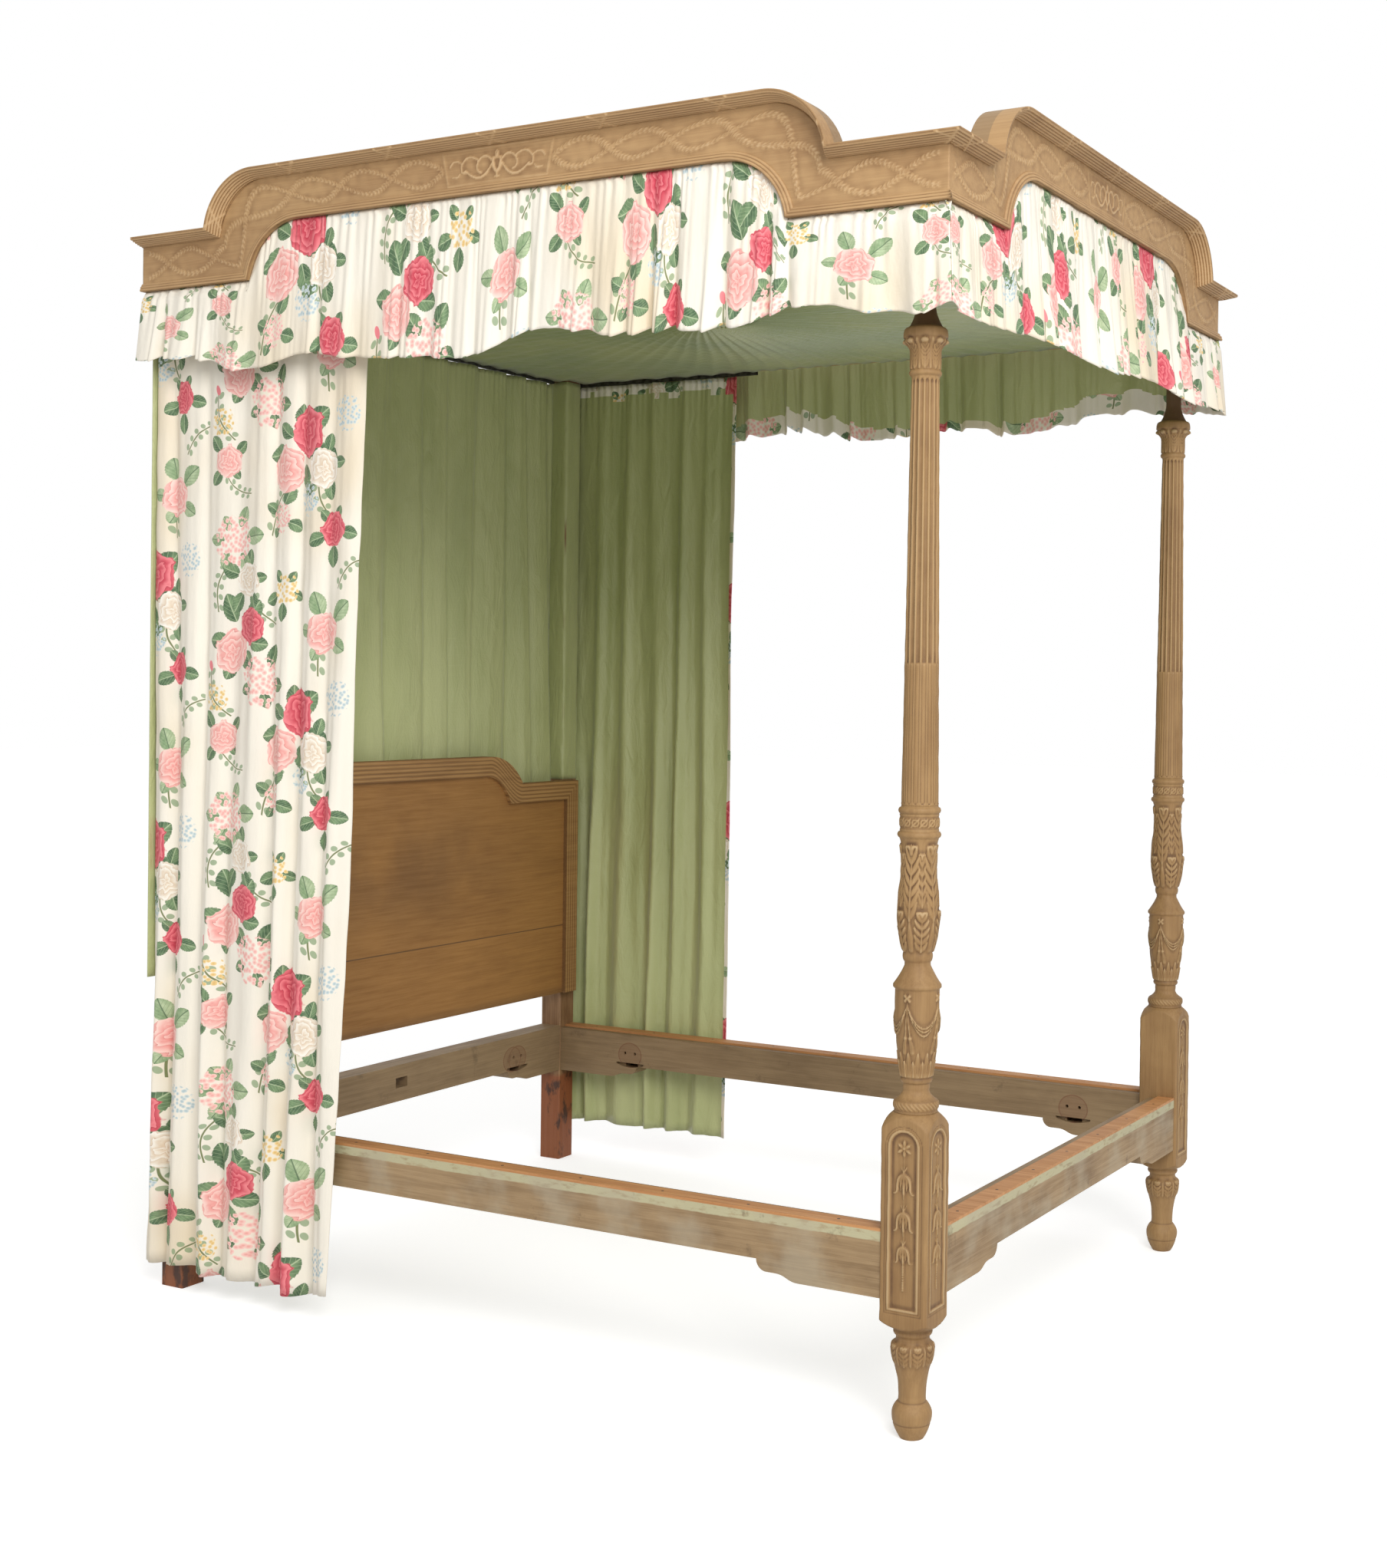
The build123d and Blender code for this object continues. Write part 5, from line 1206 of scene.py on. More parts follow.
def makePlaceGroup():
    # a stamp's own place: from its centre in the repeat, turned, and in units of its size
    p = chintzPrint
    group, given, made = newGroup("stampPlace", [("Vector", "vector", None), ("Centre", "vector", None),
                                                 ("Turn", "value", 0.0), ("Size", "value",
            0.1)], [("Vector", "vector")])
    away = addNode(group, "ShaderNodeVectorMath", {0: given["Vector"], 1: given["Centre"]},
                   operation="SUBTRACT")
    apart = axes(group, away.outputs[0])
    def near(value, whole):
        return times(group, minus(group, calc(group, "FRACT",
                                              plus(group, divided(group, value, whole),
                                                   0.5)), 0.5), whole)
    joined = addNode(group, "ShaderNodeCombineXYZ", {"X": apart[0],
                                                     "Y": near(apart[1], p["repeatHigh"])})
    turned = addNode(group, "ShaderNodeVectorRotate", {"Vector": joined.outputs[0],
                                                       "Angle": given["Turn"]}, rotation_type="Z_AXIS")
    scaled = addNode(group, "ShaderNodeVectorMath", {0: turned.outputs[0]}, operation="SCALE")
    group.links.new(divided(group, 1.0, given["Size"]), scaled.inputs["Scale"])
    group.links.new(scaled.outputs[0], made["Vector"])
    return group


def polar(tree, vector):
    # distance from the middle and angle round it
    apart = axes(tree, vector)
    x, y = apart[0], apart[1]
    square = plus(tree, times(tree, x, x), times(tree, y, y))
    return calc(tree, "SQRT", square), calc(tree, "ARCTAN2", y, x), x, y


def makeRoseGroup():
    # petals as shells that wind outwards: tone = fract(3.4 r + 0.3 sin(3 a + 4 r) +
    # 0.16 sin(7 a + 9 noise)), and an edge scalloped by sin 6a
    group, given, made = newGroup("rosePrint", [("Vector", "vector", None),
                                                ("Deep", "color", (0.6, 0.1, 0.1)), ("Pale", "color",
            (0.9, 0.5, 0.5))], [("Color", "color"), ("Mask", "value")])
    warp = noise(group, given["Vector"], 2.6, 2.0)
    r, a, _, _ = polar(group, given["Vector"])
    scallop = times(group, calc(group, "SINE", times(group, a, 6.0)), 0.05)
    rough = times(group, minus(group, warp, 0.5), 0.42)
    reach = plus(group, plus(group, r, scallop), rough)
    twist = calc(group, "SINE", plus(group, times(group, a, 3.0), times(group, r, 4.0)))
    small = calc(group, "SINE", plus(group, times(group, a, 7.0), times(group, warp, 9.0)))
    shells = plus(group, times(group, reach, 3.4), plus(group, times(group, twist, 0.30),
                                                        times(group, small, 0.16)))
    tone = calc(group, "FRACT", shells)
    lit = plus(group, times(group, ramp(group, tone, 0.05, 0.95), 0.78),
               times(group, ramp(group, reach, 0.1, 1.0), 0.26), clamp=True)
    line = ramp(group, tone, 0.10, 0.0)
    petal = blendColor(group, lit, given["Deep"], given["Pale"])
    deeper = blendColor(group, 1.0, given["Deep"], (0.62, 0.50, 0.50), how="MULTIPLY")
    group.links.new(blendColor(group, times(group, line, 0.55), petal, deeper), made["Color"])
    group.links.new(ramp(group, reach, 0.98, 0.94), made["Mask"])
    return group


def makeLeafGroup():
    # a leaf from (0, 0) to (0, 1): half width = wide (4 y (1 - y))^0.7 with a saw edge, a pale midrib
    # and side veins
    group, given, made = newGroup("leafPrint", [("Vector", "vector", None),
                                                ("Dark", "color", (0.1, 0.2, 0.1)), ("Light", "color",
            (0.3, 0.4, 0.3)), ("Vein", "color", (0.6, 0.7, 0.5)), ("Wide", "value",
            0.31)], [("Color", "color"), ("Mask", "value")])
    apart = axes(group, given["Vector"])
    x, y = apart[0], apart[1]
    arch = times(group, times(group, y, 4.0), minus(group, 1.0, y))
    full = calc(group, "POWER", calc(group, "MAXIMUM", arch, 0.0001), 0.7)
    saw = times(group, calc(group, "FRACT", times(group, y, 9.0)), 0.09)
    half = times(group, times(group, full, given["Wide"]), minus(group, 1.04, saw))
    side = calc(group, "ABSOLUTE", x)
    inside = minus(group, half, side)
    within = times(group, calc(group, "GREATER_THAN", y, 0.0), calc(group, "LESS_THAN", y, 1.0))
    veins = calc(group, "FRACT", plus(group, times(group, y, 6.0), times(group, side, -7.0)))
    vein = calc(group, "MAXIMUM", ramp(group, side, 0.028, 0.012),
                times(group, ramp(group, veins, 0.16, 0.04), 0.65))
    patch = noise(group, given["Vector"], 2.2, 3.0)
    share = plus(group, times(group, calc(group, "GREATER_THAN", x, 0.0), 0.30),
                 times(group, ramp(group, patch, 0.35, 0.65), 0.65), clamp=True)
    blade = blendColor(group, share, given["Dark"], given["Light"])
    group.links.new(blendColor(group, times(group, vein, 0.75), blade, given["Vein"]), made["Color"])
    group.links.new(times(group, ramp(group, inside, 0.0, 0.02), within), made["Mask"])
    return group


def makeBlossomGroup():
    # a round head of small blossoms: Voronoi cells, each a blossom with a paler edge and a dark eye
    group, given, made = newGroup("blossomPrint", [("Vector", "vector", None),
                                                   ("Deep", "color", (0.6, 0.2, 0.2)), ("Pale", "color",
            (0.9, 0.6, 0.6)), ("Cells", "value", 4.6), ("Fill", "value", 0.46)], [("Color", "color"),
            ("Mask", "value")])
    warp = noise(group, given["Vector"], 2.0, 2.0)
    r, _, _, _ = polar(group, given["Vector"])
    reach = plus(group, r, times(group, minus(group, warp, 0.5), 0.75))
    cells = addNode(group, "ShaderNodeTexVoronoi", {"Vector": given["Vector"], "Scale": given["Cells"]},
                    voronoi_dimensions="2D")
    away = cells.outputs["Distance"]
    blossom = ramp(group, away, given["Fill"], minus(group, given["Fill"], 0.07))
    tone = plus(group, times(group, ramp(group, away, 0.02, 0.42), 0.7), times(group, warp, 0.4),
                clamp=True)
    group.links.new(blendColor(group, tone, given["Deep"], given["Pale"]), made["Color"])
    group.links.new(times(group, ramp(group, reach, 1.0, 0.9), blossom), made["Mask"])
    return group


def makeStemGroup():
    # a thin stalk from (0, 0) to (0, 1) that sways by 0.16 sin(pi y), with a bud at its end and leaflets
    group, given, made = newGroup("stalkPrint", [("Vector", "vector", None)],
                                  [("Mask", "value"), ("Bud", "value"), ("Leaf", "value")])
    apart = axes(group, given["Vector"])
    x, y = apart[0], apart[1]
    sway = times(group, calc(group, "SINE", times(group, y, math.pi)), 0.16)
    away = calc(group, "ABSOLUTE", minus(group, x, sway))
    within = times(group, calc(group, "GREATER_THAN", y, 0.0), calc(group, "LESS_THAN", y, 1.0))
    group.links.new(times(group, ramp(group, away, 0.020, 0.010), within), made["Mask"])
    up = divided(group, minus(group, y, 1.03), 0.11)
    over = divided(group, x, 0.062)
    round_ = calc(group, "SQRT", plus(group, times(group, up, up), times(group, over, over)))
    group.links.new(ramp(group, round_, 1.0, 0.85), made["Bud"])
    # five pairs of round leaflets stand 0.085 to each side of it
    step = divided(group, minus(group, calc(group, "FRACT", times(group, y, 5.0)), 0.5), 0.30)
    beside = divided(group, minus(group, away, 0.085), 0.064)
    leaflet = calc(group, "SQRT", plus(group, times(group, step, step), times(group, beside, beside)))
    group.links.new(times(group, ramp(group, leaflet, 1.0, 0.85), within), made["Leaf"])
    return group


def makeRingGroup():
    # leaves round a flower: the angle is folded into sectors, and in each a leaf runs outwards from 0.4 of
    # its reach; the reach changes with the sector's number k as 0.9 + 0.2 sin(5 k + seed)
    group, given, made = newGroup("leafRing", [("Vector", "vector", None), ("Count", "value", 5.0),
                                               ("Seed", "value", 0.0)], [("Vector", "vector")])
    r, a, _, _ = polar(group, given["Vector"])
    share = times(group, a, divided(group, given["Count"], tau))
    whole = calc(group, "FLOOR", plus(group, share, 0.5))
    number = calc(group, "FLOORED_MODULO", whole, given["Count"])
    tilt = times(group, calc(group, "SINE", plus(group, times(group, number, 7.0), given["Seed"])), 0.12)
    off = plus(group, divided(group, times(group, minus(group, share, whole), tau), given["Count"]), tilt)
    longer = calc(group, "SINE", plus(group, times(group, number, 5.0), given["Seed"]))
    reach = plus(group, 0.9, times(group, longer, 0.2))
    far = divided(group, r, reach)
    x = divided(group, times(group, far, calc(group, "SINE", off)), 0.6)
    y = divided(group, minus(group, times(group, far, calc(group, "COSINE", off)), 0.4), 0.6)
    joined = addNode(group, "ShaderNodeCombineXYZ", {"X": x, "Y": y})
    group.links.new(joined.outputs[0], made["Vector"])
    return group


repeatGroup, placeGroup = makeRepeatGroup(), makePlaceGroup()
roseGroup, leafGroup, blossomGroup = makeRoseGroup(), makeLeafGroup(), makeBlossomGroup()
stemGroup, ringGroup = makeStemGroup(), makeRingGroup()


def makeChintz():
    p = chintzPrint
    material, tree = newMaterial("Rose chintz")
    place = clothPlace(tree)
    repeat = useGroup(tree, repeatGroup, {"Vector": place})["Vector"]
    shade = noise(tree, stretched(tree, place, (1.1, 0.7, 1)), 1.6, 3.0)
    color = blendColor(tree, ramp(tree, shade, 0.50, 0.72), p["ground"], p["groundShade"])

    def local(x, y, turn, size):
        # a billionth of the colour so far is added to the place: too little to show, it makes the stamp
        # wait its turn, so that the renderer never holds all the stamps at once
        waits = addNode(tree, "ShaderNodeVectorMath", {0: color, 1: (1e-9, 1e-9, 1e-9), 2: repeat},
                        operation="MULTIPLY_ADD")
        return useGroup(tree, placeGroup, {"Vector": waits.outputs[0], "Centre": (x, y, 0.0),
                                           "Turn": math.radians(turn), "Size": size})["Vector"]

    for x, y, turn, size in ((0.10, 0.10, 20, 0.13), (0.33, 0.07, -35, 0.14), (0.46, 0.30, 25, 0.13),
                             (0.13, 0.40, -20, 0.15), (0.30, 0.52, 40, 0.13), (0.50, 0.55, -15,
            0.12), (0.07, 0.60, -50, 0.11), (0.40, 0.17, 60, 0.10)):
        stalk = useGroup(tree, stemGroup, {"Vector": local(x, y, turn, size)})
        color = blendColor(tree, stalk["Mask"], color, p["stem"])
        color = blendColor(tree, times(tree, stalk["Leaf"], 0.8), color, p["leafLight"])
        color = blendColor(tree, stalk["Bud"], color, p["crimsonPale"])
    rings = ((0.225, 0.275, 10, 0.128, 7), (0.130, 0.235, 40, 0.094, 5), (0.425, 0.480, 0, 0.116, 6),
             (0.118, 0.500, 70, 0.100, 5), (0.092, 0.080, 20, 0.082, 5), (0.400, 0.625, 50, 0.088,
            5), (0.345, 0.385, 30, 0.092, 5), (0.455, 0.060, 0, 0.096, 6), (0.262, 0.600, 15, 0.072,
            5), (0.478, 0.250, 45, 0.076, 4), (0.290, 0.110, 65, 0.074, 4))
    for k, (x, y, turn, size, count) in enumerate(rings):
        tones = {"Dark": p["leafDark"], "Light": p["leafLight"], "Vein": p["vein"]}
        if k % 4 == 3:
            tones = {"Dark": p["leafLight"], "Light": p["vein"], "Vein": p["leafDark"]}
        ring = useGroup(tree, ringGroup, {"Vector": local(x, y, turn, size), "Count": float(count),
                                          "Seed": 1.7 * k})
        leaf = useGroup(tree, leafGroup, {"Vector": ring["Vector"], "Wide": 0.36, **tones})
        color = blendColor(tree, leaf["Mask"], color, leaf["Color"])
    heads = ((0.345, 0.385, 0.060, "pink", "pinkPale", 5.2, 0.52),
             (0.060, 0.345, 0.042, "blue", "bluePale", 4.0, 0.44), (0.455, 0.060, 0.060, "pink",
            "pinkPale", 5.4, 0.52), (0.262, 0.600, 0.038, "ochre", "ochrePale", 3.2, 0.42), (0.185, 0.150,
            0.040, "blue", "bluePale", 3.8, 0.46), (0.500, 0.345, 0.036, "ochre", "ochrePale", 3.0,
                                                    0.40), (0.290, 0.110, 0.036, "pink", "pinkPale", 4.2,
                                                            0.50))
    for x, y, size, deep, pale, cells, fill in heads:
        head = useGroup(tree, blossomGroup, {"Vector": local(x, y, 0, size), "Deep": p[deep],
                                             "Pale": p[pale], "Cells": cells, "Fill": fill})
        color = blendColor(tree, head["Mask"], color, head["Color"])
    roses = ((0.195, 0.310, 15, 0.062, "crimson", "crimsonPale"),
             (0.272, 0.222, 80, 0.056, "pink", "pinkPale"), (0.135, 0.222, 200, 0.048, "whiteShade",
                                                             "white"), (0.450, 0.455, 140, 0.054, "pink",
            "pinkPale"), (0.385, 0.515, 250, 0.045, "crimson", "crimsonPale"), (0.118, 0.500, 300, 0.050,
            "pink", "pinkPale"), (0.400, 0.625, 30, 0.042, "whiteShade", "white"), (0.092, 0.080, 160,
            0.042, "crimson", "crimsonPale"), (0.478, 0.250, 70, 0.040, "pink", "pinkPale"))
    for x, y, turn, size, deep, pale in roses:
        rose = useGroup(tree, roseGroup, {"Vector": local(x, y, turn, size), "Deep": p[deep],
                                          "Pale": p[pale]})
        color = blendColor(tree, rose["Mask"], color, rose["Color"])
    weave = useGroup(tree, weaveGroup, {"Vector": place, "Thread": 0.0006})
    crumple = noise(tree, stretched(tree, place, (10, 3.0, 1)), 2.4, 4.0, 0.55)
    height = plus(tree, times(tree, crumple, 3.0), times(tree, weave["Height"], 0.05))
    rough = plus(tree, 0.52, times(tree, weave["Slub"], 0.12))
    surface(tree, color, rough, height, 0.0012)
    return material


# Green silk for the linings, the head cloth and the sleeves
greenSilk = {"base": paint(186, 190, 136), "deep": paint(168, 174, 118), "pale": paint(203, 207, 158),
             "liningBase": paint(146, 158, 112), "rough": 0.40}


def makeSilk(name, base, deep, pale, crossways=False):
    material, tree = newMaterial(name)
    place = clothPlace(tree)
    streaks = noise(tree, stretched(tree, place, (6, 0.5, 1) if not crossways else (2, 2, 1)), 1.6, 2.0,
                    0.5)
    slubs = noise(tree, stretched(tree, place, (9, 420, 1)), 1.0, 2.0, 0.7)
    patch = noise(tree, place, 2.6, 2.0)
    tone = plus(tree, times(tree, streaks, 0.7), times(tree, patch, 0.3))
    color = blendColor(tree, ramp(tree, tone, 0.30, 0.62), deep, base)
    color = blendColor(tree, times(tree, ramp(tree, slubs, 0.56, 0.74), 0.16), color, pale)
    crease = noise(tree, stretched(tree, place, (16, 5.0, 1), turn=(0, 0, 0.35)), 1.7, 4.0, 0.6, 0.6)
    height = plus(tree, times(tree, crease, 4.0), times(tree, slubs, 0.12))
    rough = plus(tree, greenSilk["rough"] - 0.04, times(tree, slubs, 0.14))
    surface(tree, color, rough, height, 0.0016, Sheen_Weight=0.25, Sheen_Roughness=0.4)
    return material


# Woods: each has a light and a dark tone of grain, how strong the grain is, and how blotched
woodTones = {
    # in carved and cornice, the third tone darkens the carving's hollows as painted shade mixed with dirt,
    # and high lightens its raised parts as a painted highlight mixed with wear
    "carved": {"light": paint(165, 130, 84), "dark": paint(132, 98, 58), "grimeAndShade": paint(96, 66, 38),
        "high": paint(212, 184, 140)},
    "cornice": {"light": paint(188, 152, 106), "dark": paint(156, 120, 80), "grimeAndShade": paint(120, 86, 52),
        "high": paint(228, 198, 156)},
    "headboard": {"light": paint(160, 114, 58), "dark": paint(132, 90, 42)},
    "moulding": {"light": paint(164, 122, 70), "dark": paint(130, 92, 50)},
    "rail": {"light": paint(168, 140, 102), "dark": paint(128, 102, 70)},
    "strip": {"light": paint(202, 146, 92), "dark": paint(160, 106, 62)},
    "post": {"light": paint(158, 122, 84), "dark": paint(112, 80, 50)},
    "tester": {"light": paint(190, 160, 118), "dark": paint(150, 118, 80)},
}
grainTurn = {"x": (0, -math.pi / 2, 0), "y": (math.pi / 2, 0, 0), "z": (0, 0, 0)}


def makeCarvedWood(name, tones, grain, amount=1.0):
    material, tree = newMaterial(name)
    place = objectPlace(tree)
    along = stretched(tree, place, (1, 1, 1), turn=grainTurn[grain])
    t = woodTones[tones]
    wood = useGroup(tree, grainGroup, {"Vector": along, "Light": t["light"], "Dark": t["dark"],
                                       "Contrast": 0.8, "Blotches": 0.5})
    # where the relief is low the carving gets painted shade mixed with dirt, where it is high a painted
    # highlight mixed with wear
    relief = addNode(tree, "ShaderNodeAttribute", attribute_name="relief").outputs["Fac"]
    worn = useGroup(tree, reliefShadeGroup, {"Color": wood["Color"], "Relief": relief, "Vector": place,
                                      "ShadeAndGrime": t["grimeAndShade"], "HighlightAndWear": t["high"], "Amount": amount})
    # the stub above the cap was never stripped and stays dark
    apart = axes(tree, place)
    color = worn["Color"]
    if grain == "z":
        stub = ramp(tree, apart[2], 2.207, 2.214)
        color = blendColor(tree, times(tree, stub, 0.85), color, paint(84, 58, 36))
    fine = noise(tree, stretched(tree, along, (1, 1, 0.12)), 260.0, 3.0, 0.6)
    height = plus(tree, times(tree, wood["Height"], 0.5), times(tree, fine, 0.5))
    rough = plus(tree, 0.56, times(tree, fine, 0.18))
    surface(tree, color, rough, height, 0.0007)
    return material


def makePlainWood(name, tones, grain, blotches=0.5, extra=None):
    material, tree = newMaterial(name)
    place = objectPlace(tree)
    along = stretched(tree, place, (1, 1, 1), turn=grainTurn[grain])
    t = woodTones[tones]
    wood = useGroup(tree, grainGroup, {"Vector": along, "Light": t["light"], "Dark": t["dark"],
                                       "Contrast": 1.0, "Blotches": blotches})
    color = wood["Color"]
    if extra:
        color = extra(tree, place, color)
    rough = plus(tree, 0.55, times(tree, wood["Tone"], 0.15))
    surface(tree, color, rough, wood["Height"], 0.0009)
    return material


def between(tree, value, low, high, soft=0.0008):
    return times(tree, ramp(tree, value, low - soft, low + soft),
                 ramp(tree, value, high + soft, high - soft))


def railMarks(tree, place, color):
    # a faded sage band where webbing was glued, grey outer faces, browner inner ones, and a red-brown
    # line round each place where a bolt cover was
    apart = axes(tree, place)
    x, y, z = apart
    ax, ay = calc(tree, "ABSOLUTE", x), calc(tree, "ABSOLUTE", minus(tree, y, 0.0005))
    outer = calc(tree, "MAXIMUM", ramp(tree, ax, 0.8052, 0.8058), ramp(tree, y, -1.0202, -1.0208))
    inner = minus(tree, 1.0, outer)
    edge = noise(tree, place, 18.0, 3.0)
    color = blendColor(tree, times(tree, inner, 0.45), color, paint(118, 98, 72))
    band = between(tree, plus(tree, z, times(tree, edge, 0.006)), 0.397, 0.425, 0.0012)
    worn = ramp(tree, noise(tree, stretched(tree, place, (1, 1, 3)), 30.0, 4.0), 0.30, 0.5, 0.35, 0.9)
    color = blendColor(tree, times(tree, times(tree, band, outer), worn), color, paint(190, 184, 148))
    grey = ramp(tree, noise(tree, place, 6.0, 4.0), 0.42, 0.66)
    color = blendColor(tree, times(tree, times(tree, grey, outer), 0.5), color, paint(178, 166, 142))
    stain = ramp(tree, noise(tree, place, 11.0, 5.0, 0.7), 0.60, 0.72)
    color = blendColor(tree, times(tree, stain, 0.5), color, paint(92, 72, 50))
    height = divided(tree, minus(tree, z, 0.352), 0.0375)
    rings = 0.0
    for middle, axis in ((0.7265, ay), (0.493, ax), (0.519, ax)):
        over = divided(tree, minus(tree, axis, middle), 0.042)
        away = calc(tree, "SQRT", plus(tree, times(tree, over, over), times(tree, height, height)))
        ring = between(tree, away, 0.94, 1.02, 0.03)
        patch = times(tree, ramp(tree, away, 0.98, 0.92), 0.4)
        rings = calc(tree, "MAXIMUM", rings, calc(tree, "MAXIMUM", ring, patch))
    share = times(tree, times(tree, rings, inner), 0.7)
    return blendColor(tree, share, color, paint(112, 66, 42))


def headboardMarks(tree, place, color):
    # a dark smudge in the middle, a dark joint and a darker band along the foot
    apart = axes(tree, place)
    x, _, z = apart
    over = divided(tree, minus(tree, x, 0.02), 0.50)
    up = divided(tree, minus(tree, z, 0.965), 0.17)
    away = calc(tree, "SQRT", plus(tree, times(tree, over, over), times(tree, up, up)))
    smudge = times(tree, ramp(tree, away, 1.5, 0.1), ramp(tree, noise(tree, place, 5.0, 4.0), 0.25, 0.65))
    color = blendColor(tree, times(tree, smudge, 0.48), color, paint(92, 62, 32))
    joint = between(tree, z, 0.7385, 0.7415, 0.0008)
    color = blendColor(tree, times(tree, joint, 0.8), color, paint(66, 44, 24))
    edge = times(tree, ramp(tree, z, 0.56, 0.53), 0.5)
    return blendColor(tree, edge, color, paint(96, 68, 38))


boardReeds = {"shoulder": 1.189, "rise": 0.085, "step": 0.488, "flat": 0.332, "half": 0.770,
              "pitch": 0.0115}


def mouldingMarks(tree, place, color):
    # reeds run with the outline: the depth below it is the lesser of its level less z and half less |x|,
    # and the level is shoulder + rise * smooth(step, flat, |x|)
    b = boardReeds
    apart = axes(tree, place)
    ax = calc(tree, "ABSOLUTE", apart[0])
    level = plus(tree, b["shoulder"], times(tree, ramp(tree, ax, b["step"], b["flat"]), b["rise"]))
    depth = calc(tree, "MINIMUM", minus(tree, level, apart[2]), minus(tree, b["half"], ax))
    reed = calc(tree, "ABSOLUTE", minus(tree, calc(tree, "FRACT", divided(tree, depth, b["pitch"])), 0.5))
    # the reeds are drawn in colour alone: painted shade darkens each groove between them
    color = blendColor(tree, times(tree, ramp(tree, reed, 0.30, 0.47), 0.62), color, paint(84, 56, 28))
    # and a painted highlight lightens the crown of each reed
    return blendColor(tree, times(tree, ramp(tree, reed, 0.16, 0.02), 0.30), color, paint(206, 168, 116))


def headPostMarks(tree, place, color):
    # red-brown feet with near-black patches
    apart = axes(tree, place)
    z = apart[2]
    foot = ramp(tree, plus(tree, z, times(tree, noise(tree, place, 20.0, 3.0), 0.02)), 0.285, 0.265)
    color = blendColor(tree, times(tree, foot, 0.85), color, paint(138, 74, 38))
    dark = times(tree, ramp(tree, noise(tree, stretched(tree, place, (1, 1, 0.5)), 24.0, 4.0, 0.6), 0.50,
                            0.62), foot)
    return blendColor(tree, times(tree, dark, 0.85), color, paint(44, 26, 16))


def corniceBoardMarks(tree, place, color):
    # the board's unseen inner faces are grey-brown
    apart = axes(tree, place)
    x, y, _ = apart
    ax = calc(tree, "ABSOLUTE", x)
    inside = times(tree, ramp(tree, ax, 0.8512, 0.8505), ramp(tree, y, -1.0632, -1.0625))
    return blendColor(tree, times(tree, inside, 0.6), color, paint(134, 112, 84))


def makeMetal(name, color, dull, rough, metallic=0.9):
    material, tree = newMaterial(name)
    place = objectPlace(tree)
    patch = noise(tree, place, 60.0, 4.0, 0.6)
    shade = blendColor(tree, ramp(tree, patch, 0.42, 0.66), color, dull)
    surface(tree, shade, plus(tree, rough, times(tree, patch, 0.25)), patch, 0.0003, Metallic=metallic)
    return material


print("materials")
chintz = makeChintz()
silk = makeSilk("Green silk", greenSilk["base"], greenSilk["deep"], greenSilk["pale"])
liningSilk = makeSilk("Green silk, tester lining", greenSilk["liningBase"], greenSilk["deep"],
                      greenSilk["base"], True)
carvedWood = makeCarvedWood("Stripped carved wood", "carved", "z")
corniceWood = makeCarvedWood("Stripped cornice wood", "cornice", "y", 0.9)
boardWood = makePlainWood("Cornice board wood", "cornice", "y", 0.5, corniceBoardMarks)
headboardWood = makePlainWood("Headboard wood", "headboard", "x", 0.35, headboardMarks)
mouldingWood = makePlainWood("Headboard moulding wood", "moulding", "x", 0.3, mouldingMarks)
railWoodY = makePlainWood("Side rail wood", "rail", "y", 0.6, railMarks)
railWoodX = makePlainWood("End rail wood", "rail", "x", 0.6, railMarks)
stripWood = makePlainWood("Rail strip wood", "strip", "y", 0.3)
postWood = makePlainWood("Head post wood", "post", "z", 0.6, headPostMarks)
testerWood = makePlainWood("Tester pine", "tester", "y", 0.4)
trackMetal = makeMetal("Track metal", paint(92, 90, 86), paint(60, 58, 54), 0.4)
brass = makeMetal("Brass", paint(186, 150, 88), paint(122, 92, 48), 0.3)
iron = makeMetal("Iron", paint(88, 84, 80), paint(84, 56, 38), 0.5)


def dress(material, *names):
    # a CAD node keeps its shape and gets this material in each of its slots
    for name in names:
        for one in frame["nodes"][name].material_slots:
            one.material = material


dress(railWoodY, "side_rail_left", "side_rail_right")
dress(railWoodX, "foot_rail", "head_rail")
dress(stripWood, "rail_strip_foot", "rail_strip_left", "rail_strip_right")
dress(postWood, "head_post_left", "head_post_right")
dress(headboardWood, "headboard_upper_board", "headboard_lower_board", "headboard_battens")
dress(mouldingWood, "headboard_moulding")
dress(boardWood, "cornice_board_foot", "cornice_board_left", "cornice_board_right")
dress(testerWood, "tester_foot_rail", "tester_head_rail", "tester_side_rail_left",
      "tester_side_rail_right", "tester_laths", "corner_blocks", "post_pins")
dress(trackMetal, "curtain_track_head", "curtain_track_left", "curtain_track_right")
dress(brass, "curtain_hooks_head", "curtain_hooks_left", "curtain_hooks_right")
dress(iron, "bed_bolts", "bolt_nuts", "cornice_screws", "headboard_screws", "strip_nails")

for side in (-1, 1):
    sideName = "left" if side < 0 else "right"
    makePostPart(side, "post_foot_" + sideName, 0, 652)
    makePostPart(side, "post_vase_" + sideName, 652, 1262)
    makePostPart(side, "post_column_" + sideName, 1262, 2440)
print("foot posts")
for side in (0, -1, 1):
    makeFrieze(side)
    makeReeded(side, "crown")
    makeReeded(side, "lower")
print("cornice")
for side in (-1, 1):
    makeCurtain(side)
    makeSleeve(side)
for side in (0, -1, 1):
    makeValance(side)
makeHeadCloth()
makeLining()
makeRosette()
print("hangings")

# The photograph's camera, a soft light from the left and above, and a plain pale floor
studio = {
    "cameraAt": (-4.298, -2.686, 1.502), "yaw": 61.766, "down": 0.580, "roll": 0.739,
    "focal": 2571.7, "centre": (1091.9, 917.3), "image": (1808, 2044),
    "keyAt": (-4.6, -4.4, 4.6), "keySize": 3.2, "keyPower": 300.0, "fill": 0.62,
}


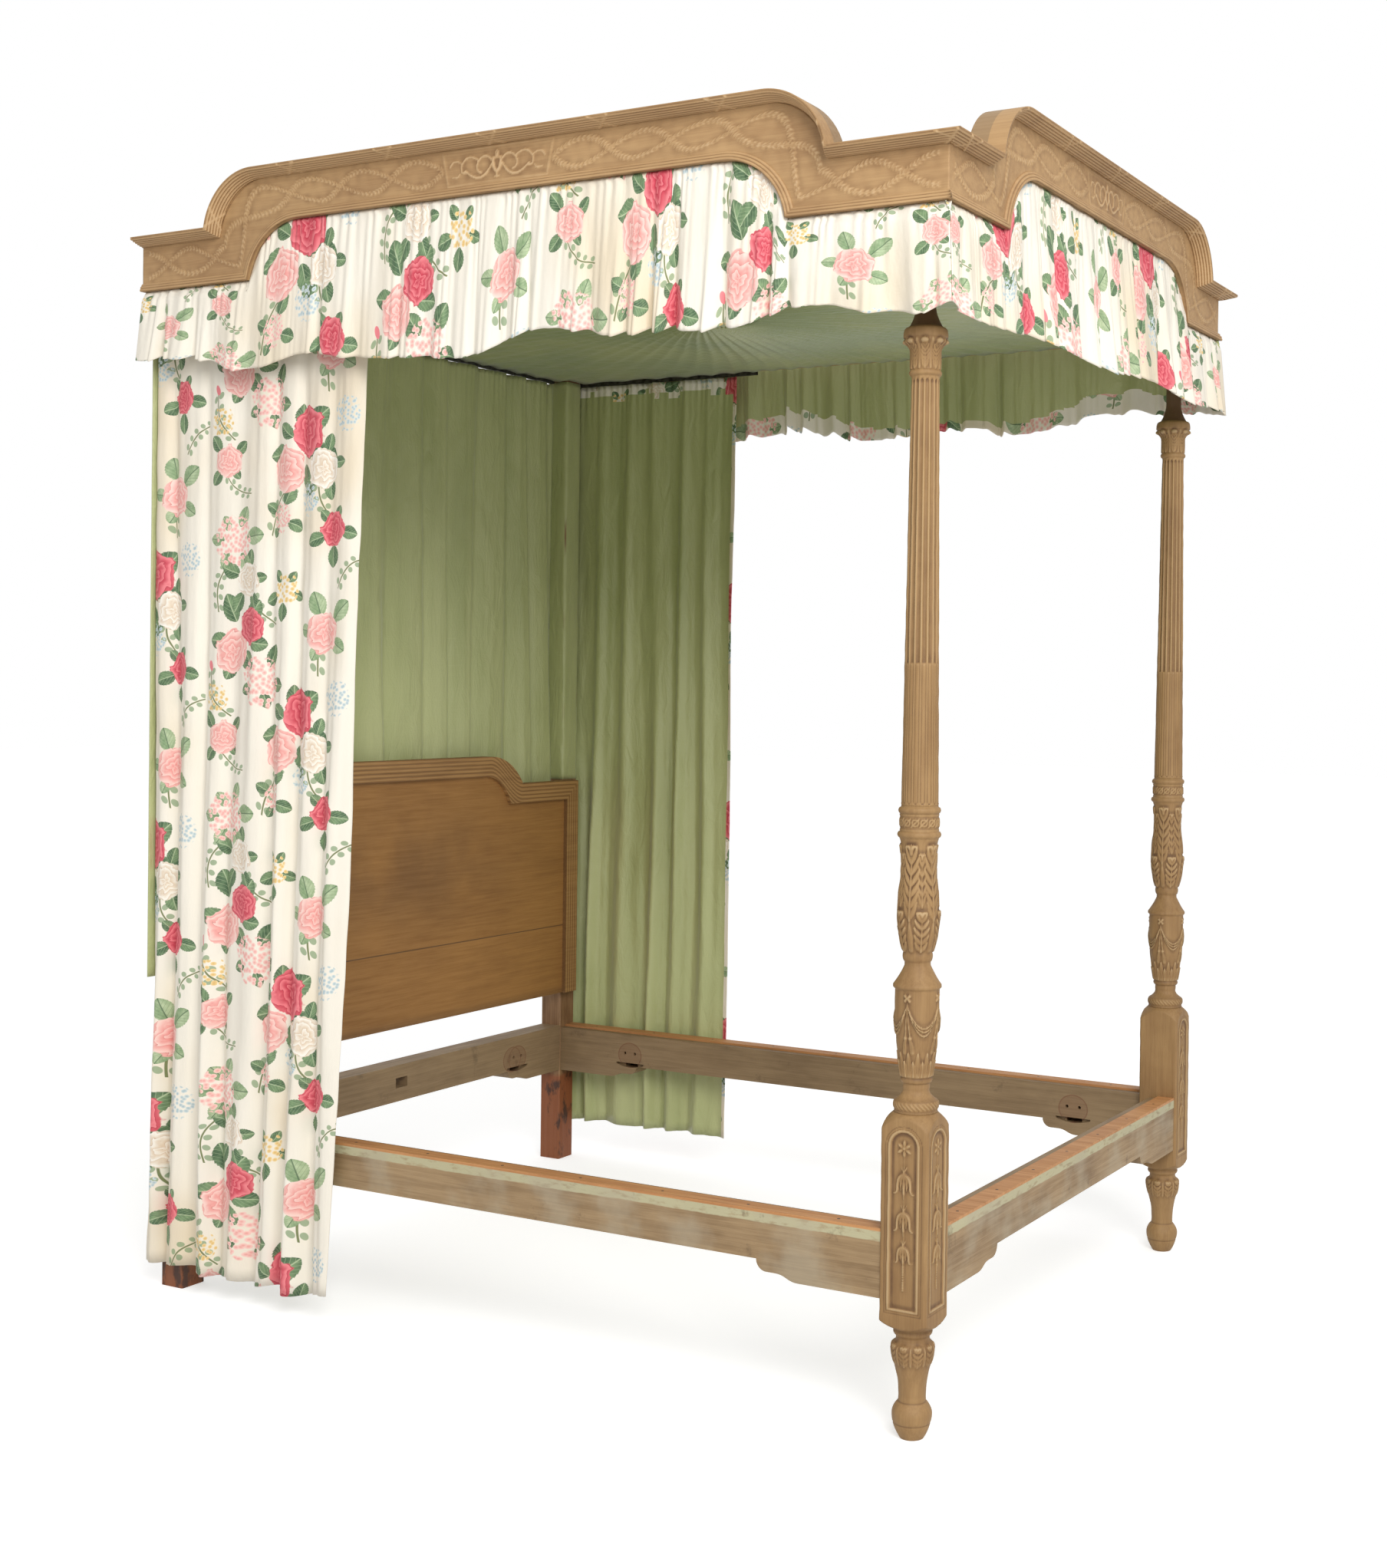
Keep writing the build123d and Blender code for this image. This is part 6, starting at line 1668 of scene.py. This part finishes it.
def makeCamera():
    # the view direction from yaw, pitch and roll; the lens and shift from the focal length and the
    # principal point in pixels, as shares of the image's longer side
    s = studio
    yaw, pitch, roll = (math.radians(a) for a in (s["yaw"], s["down"], s["roll"]))
    ahead = Vector((math.sin(yaw) * math.cos(pitch), math.cos(yaw) * math.cos(pitch), -math.sin(pitch)))
    right = Vector((math.cos(yaw), -math.sin(yaw), 0))
    up = right.cross(ahead)
    rightRolled = math.cos(roll) * right + math.sin(roll) * up
    upRolled = -math.sin(roll) * right + math.cos(roll) * up
    data = bpy.data.cameras.new("Camera")
    camera = bpy.data.objects.new("Camera", data)
    bpy.context.scene.collection.objects.link(camera)
    turn = np.eye(4)
    turn[:3, 0], turn[:3, 1], turn[:3, 2], turn[:3, 3] = rightRolled, upRolled, -ahead, s["cameraAt"]
    camera.matrix_world = Matrix(turn.tolist())
    wide, high = s["image"]
    data.sensor_width = 36.0
    data.lens = s["focal"] / high * 36.0
    data.shift_x = -(s["centre"][0] - wide / 2) / high
    data.shift_y = (s["centre"][1] - high / 2) / high
    data.clip_start, data.clip_end = 0.1, 100.0
    bpy.context.scene.camera = camera


def makeLight(name, place, aim, size, power, color=(1, 1, 1)):
    data = bpy.data.lights.new(name, "AREA")
    data.shape, data.size, data.energy, data.color = "SQUARE", size, power, color
    lamp = bpy.data.objects.new(name, data)
    bpy.context.scene.collection.objects.link(lamp)
    lamp.location = place
    lamp.rotation_euler = (Vector(aim) - Vector(place)).to_track_quat("-Z", "Y").to_euler()


def seenDirectly(tree):
    # 1 where the camera, a mirror or glass looks straight at it, 0 for the light it gives
    path = tree.nodes.new("ShaderNodeLightPath")
    seen = calc(tree, "MAXIMUM", path.outputs["Is Camera Ray"], path.outputs["Is Glossy Ray"])
    return calc(tree, "MAXIMUM", seen, path.outputs["Is Transmission Ray"])


def makeStudio():
    world = bpy.data.worlds.new("Studio")
    bpy.context.scene.world = world
    world.use_nodes = True
    tree = world.node_tree
    tree.nodes.clear()
    background = tree.nodes.new("ShaderNodeBackground")
    background.inputs["Color"].default_value = (1, 1, 1, 1)
    fill = studio["fill"]
    tree.links.new(plus(tree, times(tree, seenDirectly(tree), 1 - fill), fill),
                   background.inputs["Strength"])
    tree.links.new(background.outputs[0], tree.nodes.new("ShaderNodeOutputWorld").inputs[0])
    floorMesh = bpy.data.meshes.new("floor")
    floorMesh.from_pydata([(-30, -30, 0), (30, -30, 0), (30, 30, 0), (-30, 30, 0)], [], [(0, 1, 2, 3)])
    floor = bpy.data.objects.new("floor", floorMesh)
    bpy.context.scene.collection.objects.link(floor)
    material, tree = newMaterial("White floor")
    shader = addNode(tree, "ShaderNodeBsdfDiffuse", {"Color": (0.80, 0.80, 0.80, 1.0)})
    glow = addNode(tree, "ShaderNodeEmission", {"Color": (1, 1, 1, 1)})
    tree.links.new(times(tree, seenDirectly(tree), 0.52), glow.inputs["Strength"])
    both = tree.nodes.new("ShaderNodeAddShader")
    tree.links.new(shader.outputs[0], both.inputs[0])
    tree.links.new(glow.outputs[0], both.inputs[1])
    tree.links.new(both.outputs[0], tree.nodes.new("ShaderNodeOutputMaterial").inputs[0])
    floorMesh.materials.append(material)
    makeLight("key", studio["keyAt"], (0, 0, 1.3), studio["keySize"], studio["keyPower"])
    bpy.context.scene.view_settings.view_transform = "Standard"


makeCamera()
makeStudio()
print("camera and light")

triangles = {o.name: sum(len(p.vertices) - 2 for p in o.data.polygons) for o in bpy.data.objects
             if o.type == "MESH" and o.name not in frame["nodes"] and o.name != "floor"}
print("triangles", sum(triangles.values()), "most", max(triangles.items(), key=lambda item: item[1]))
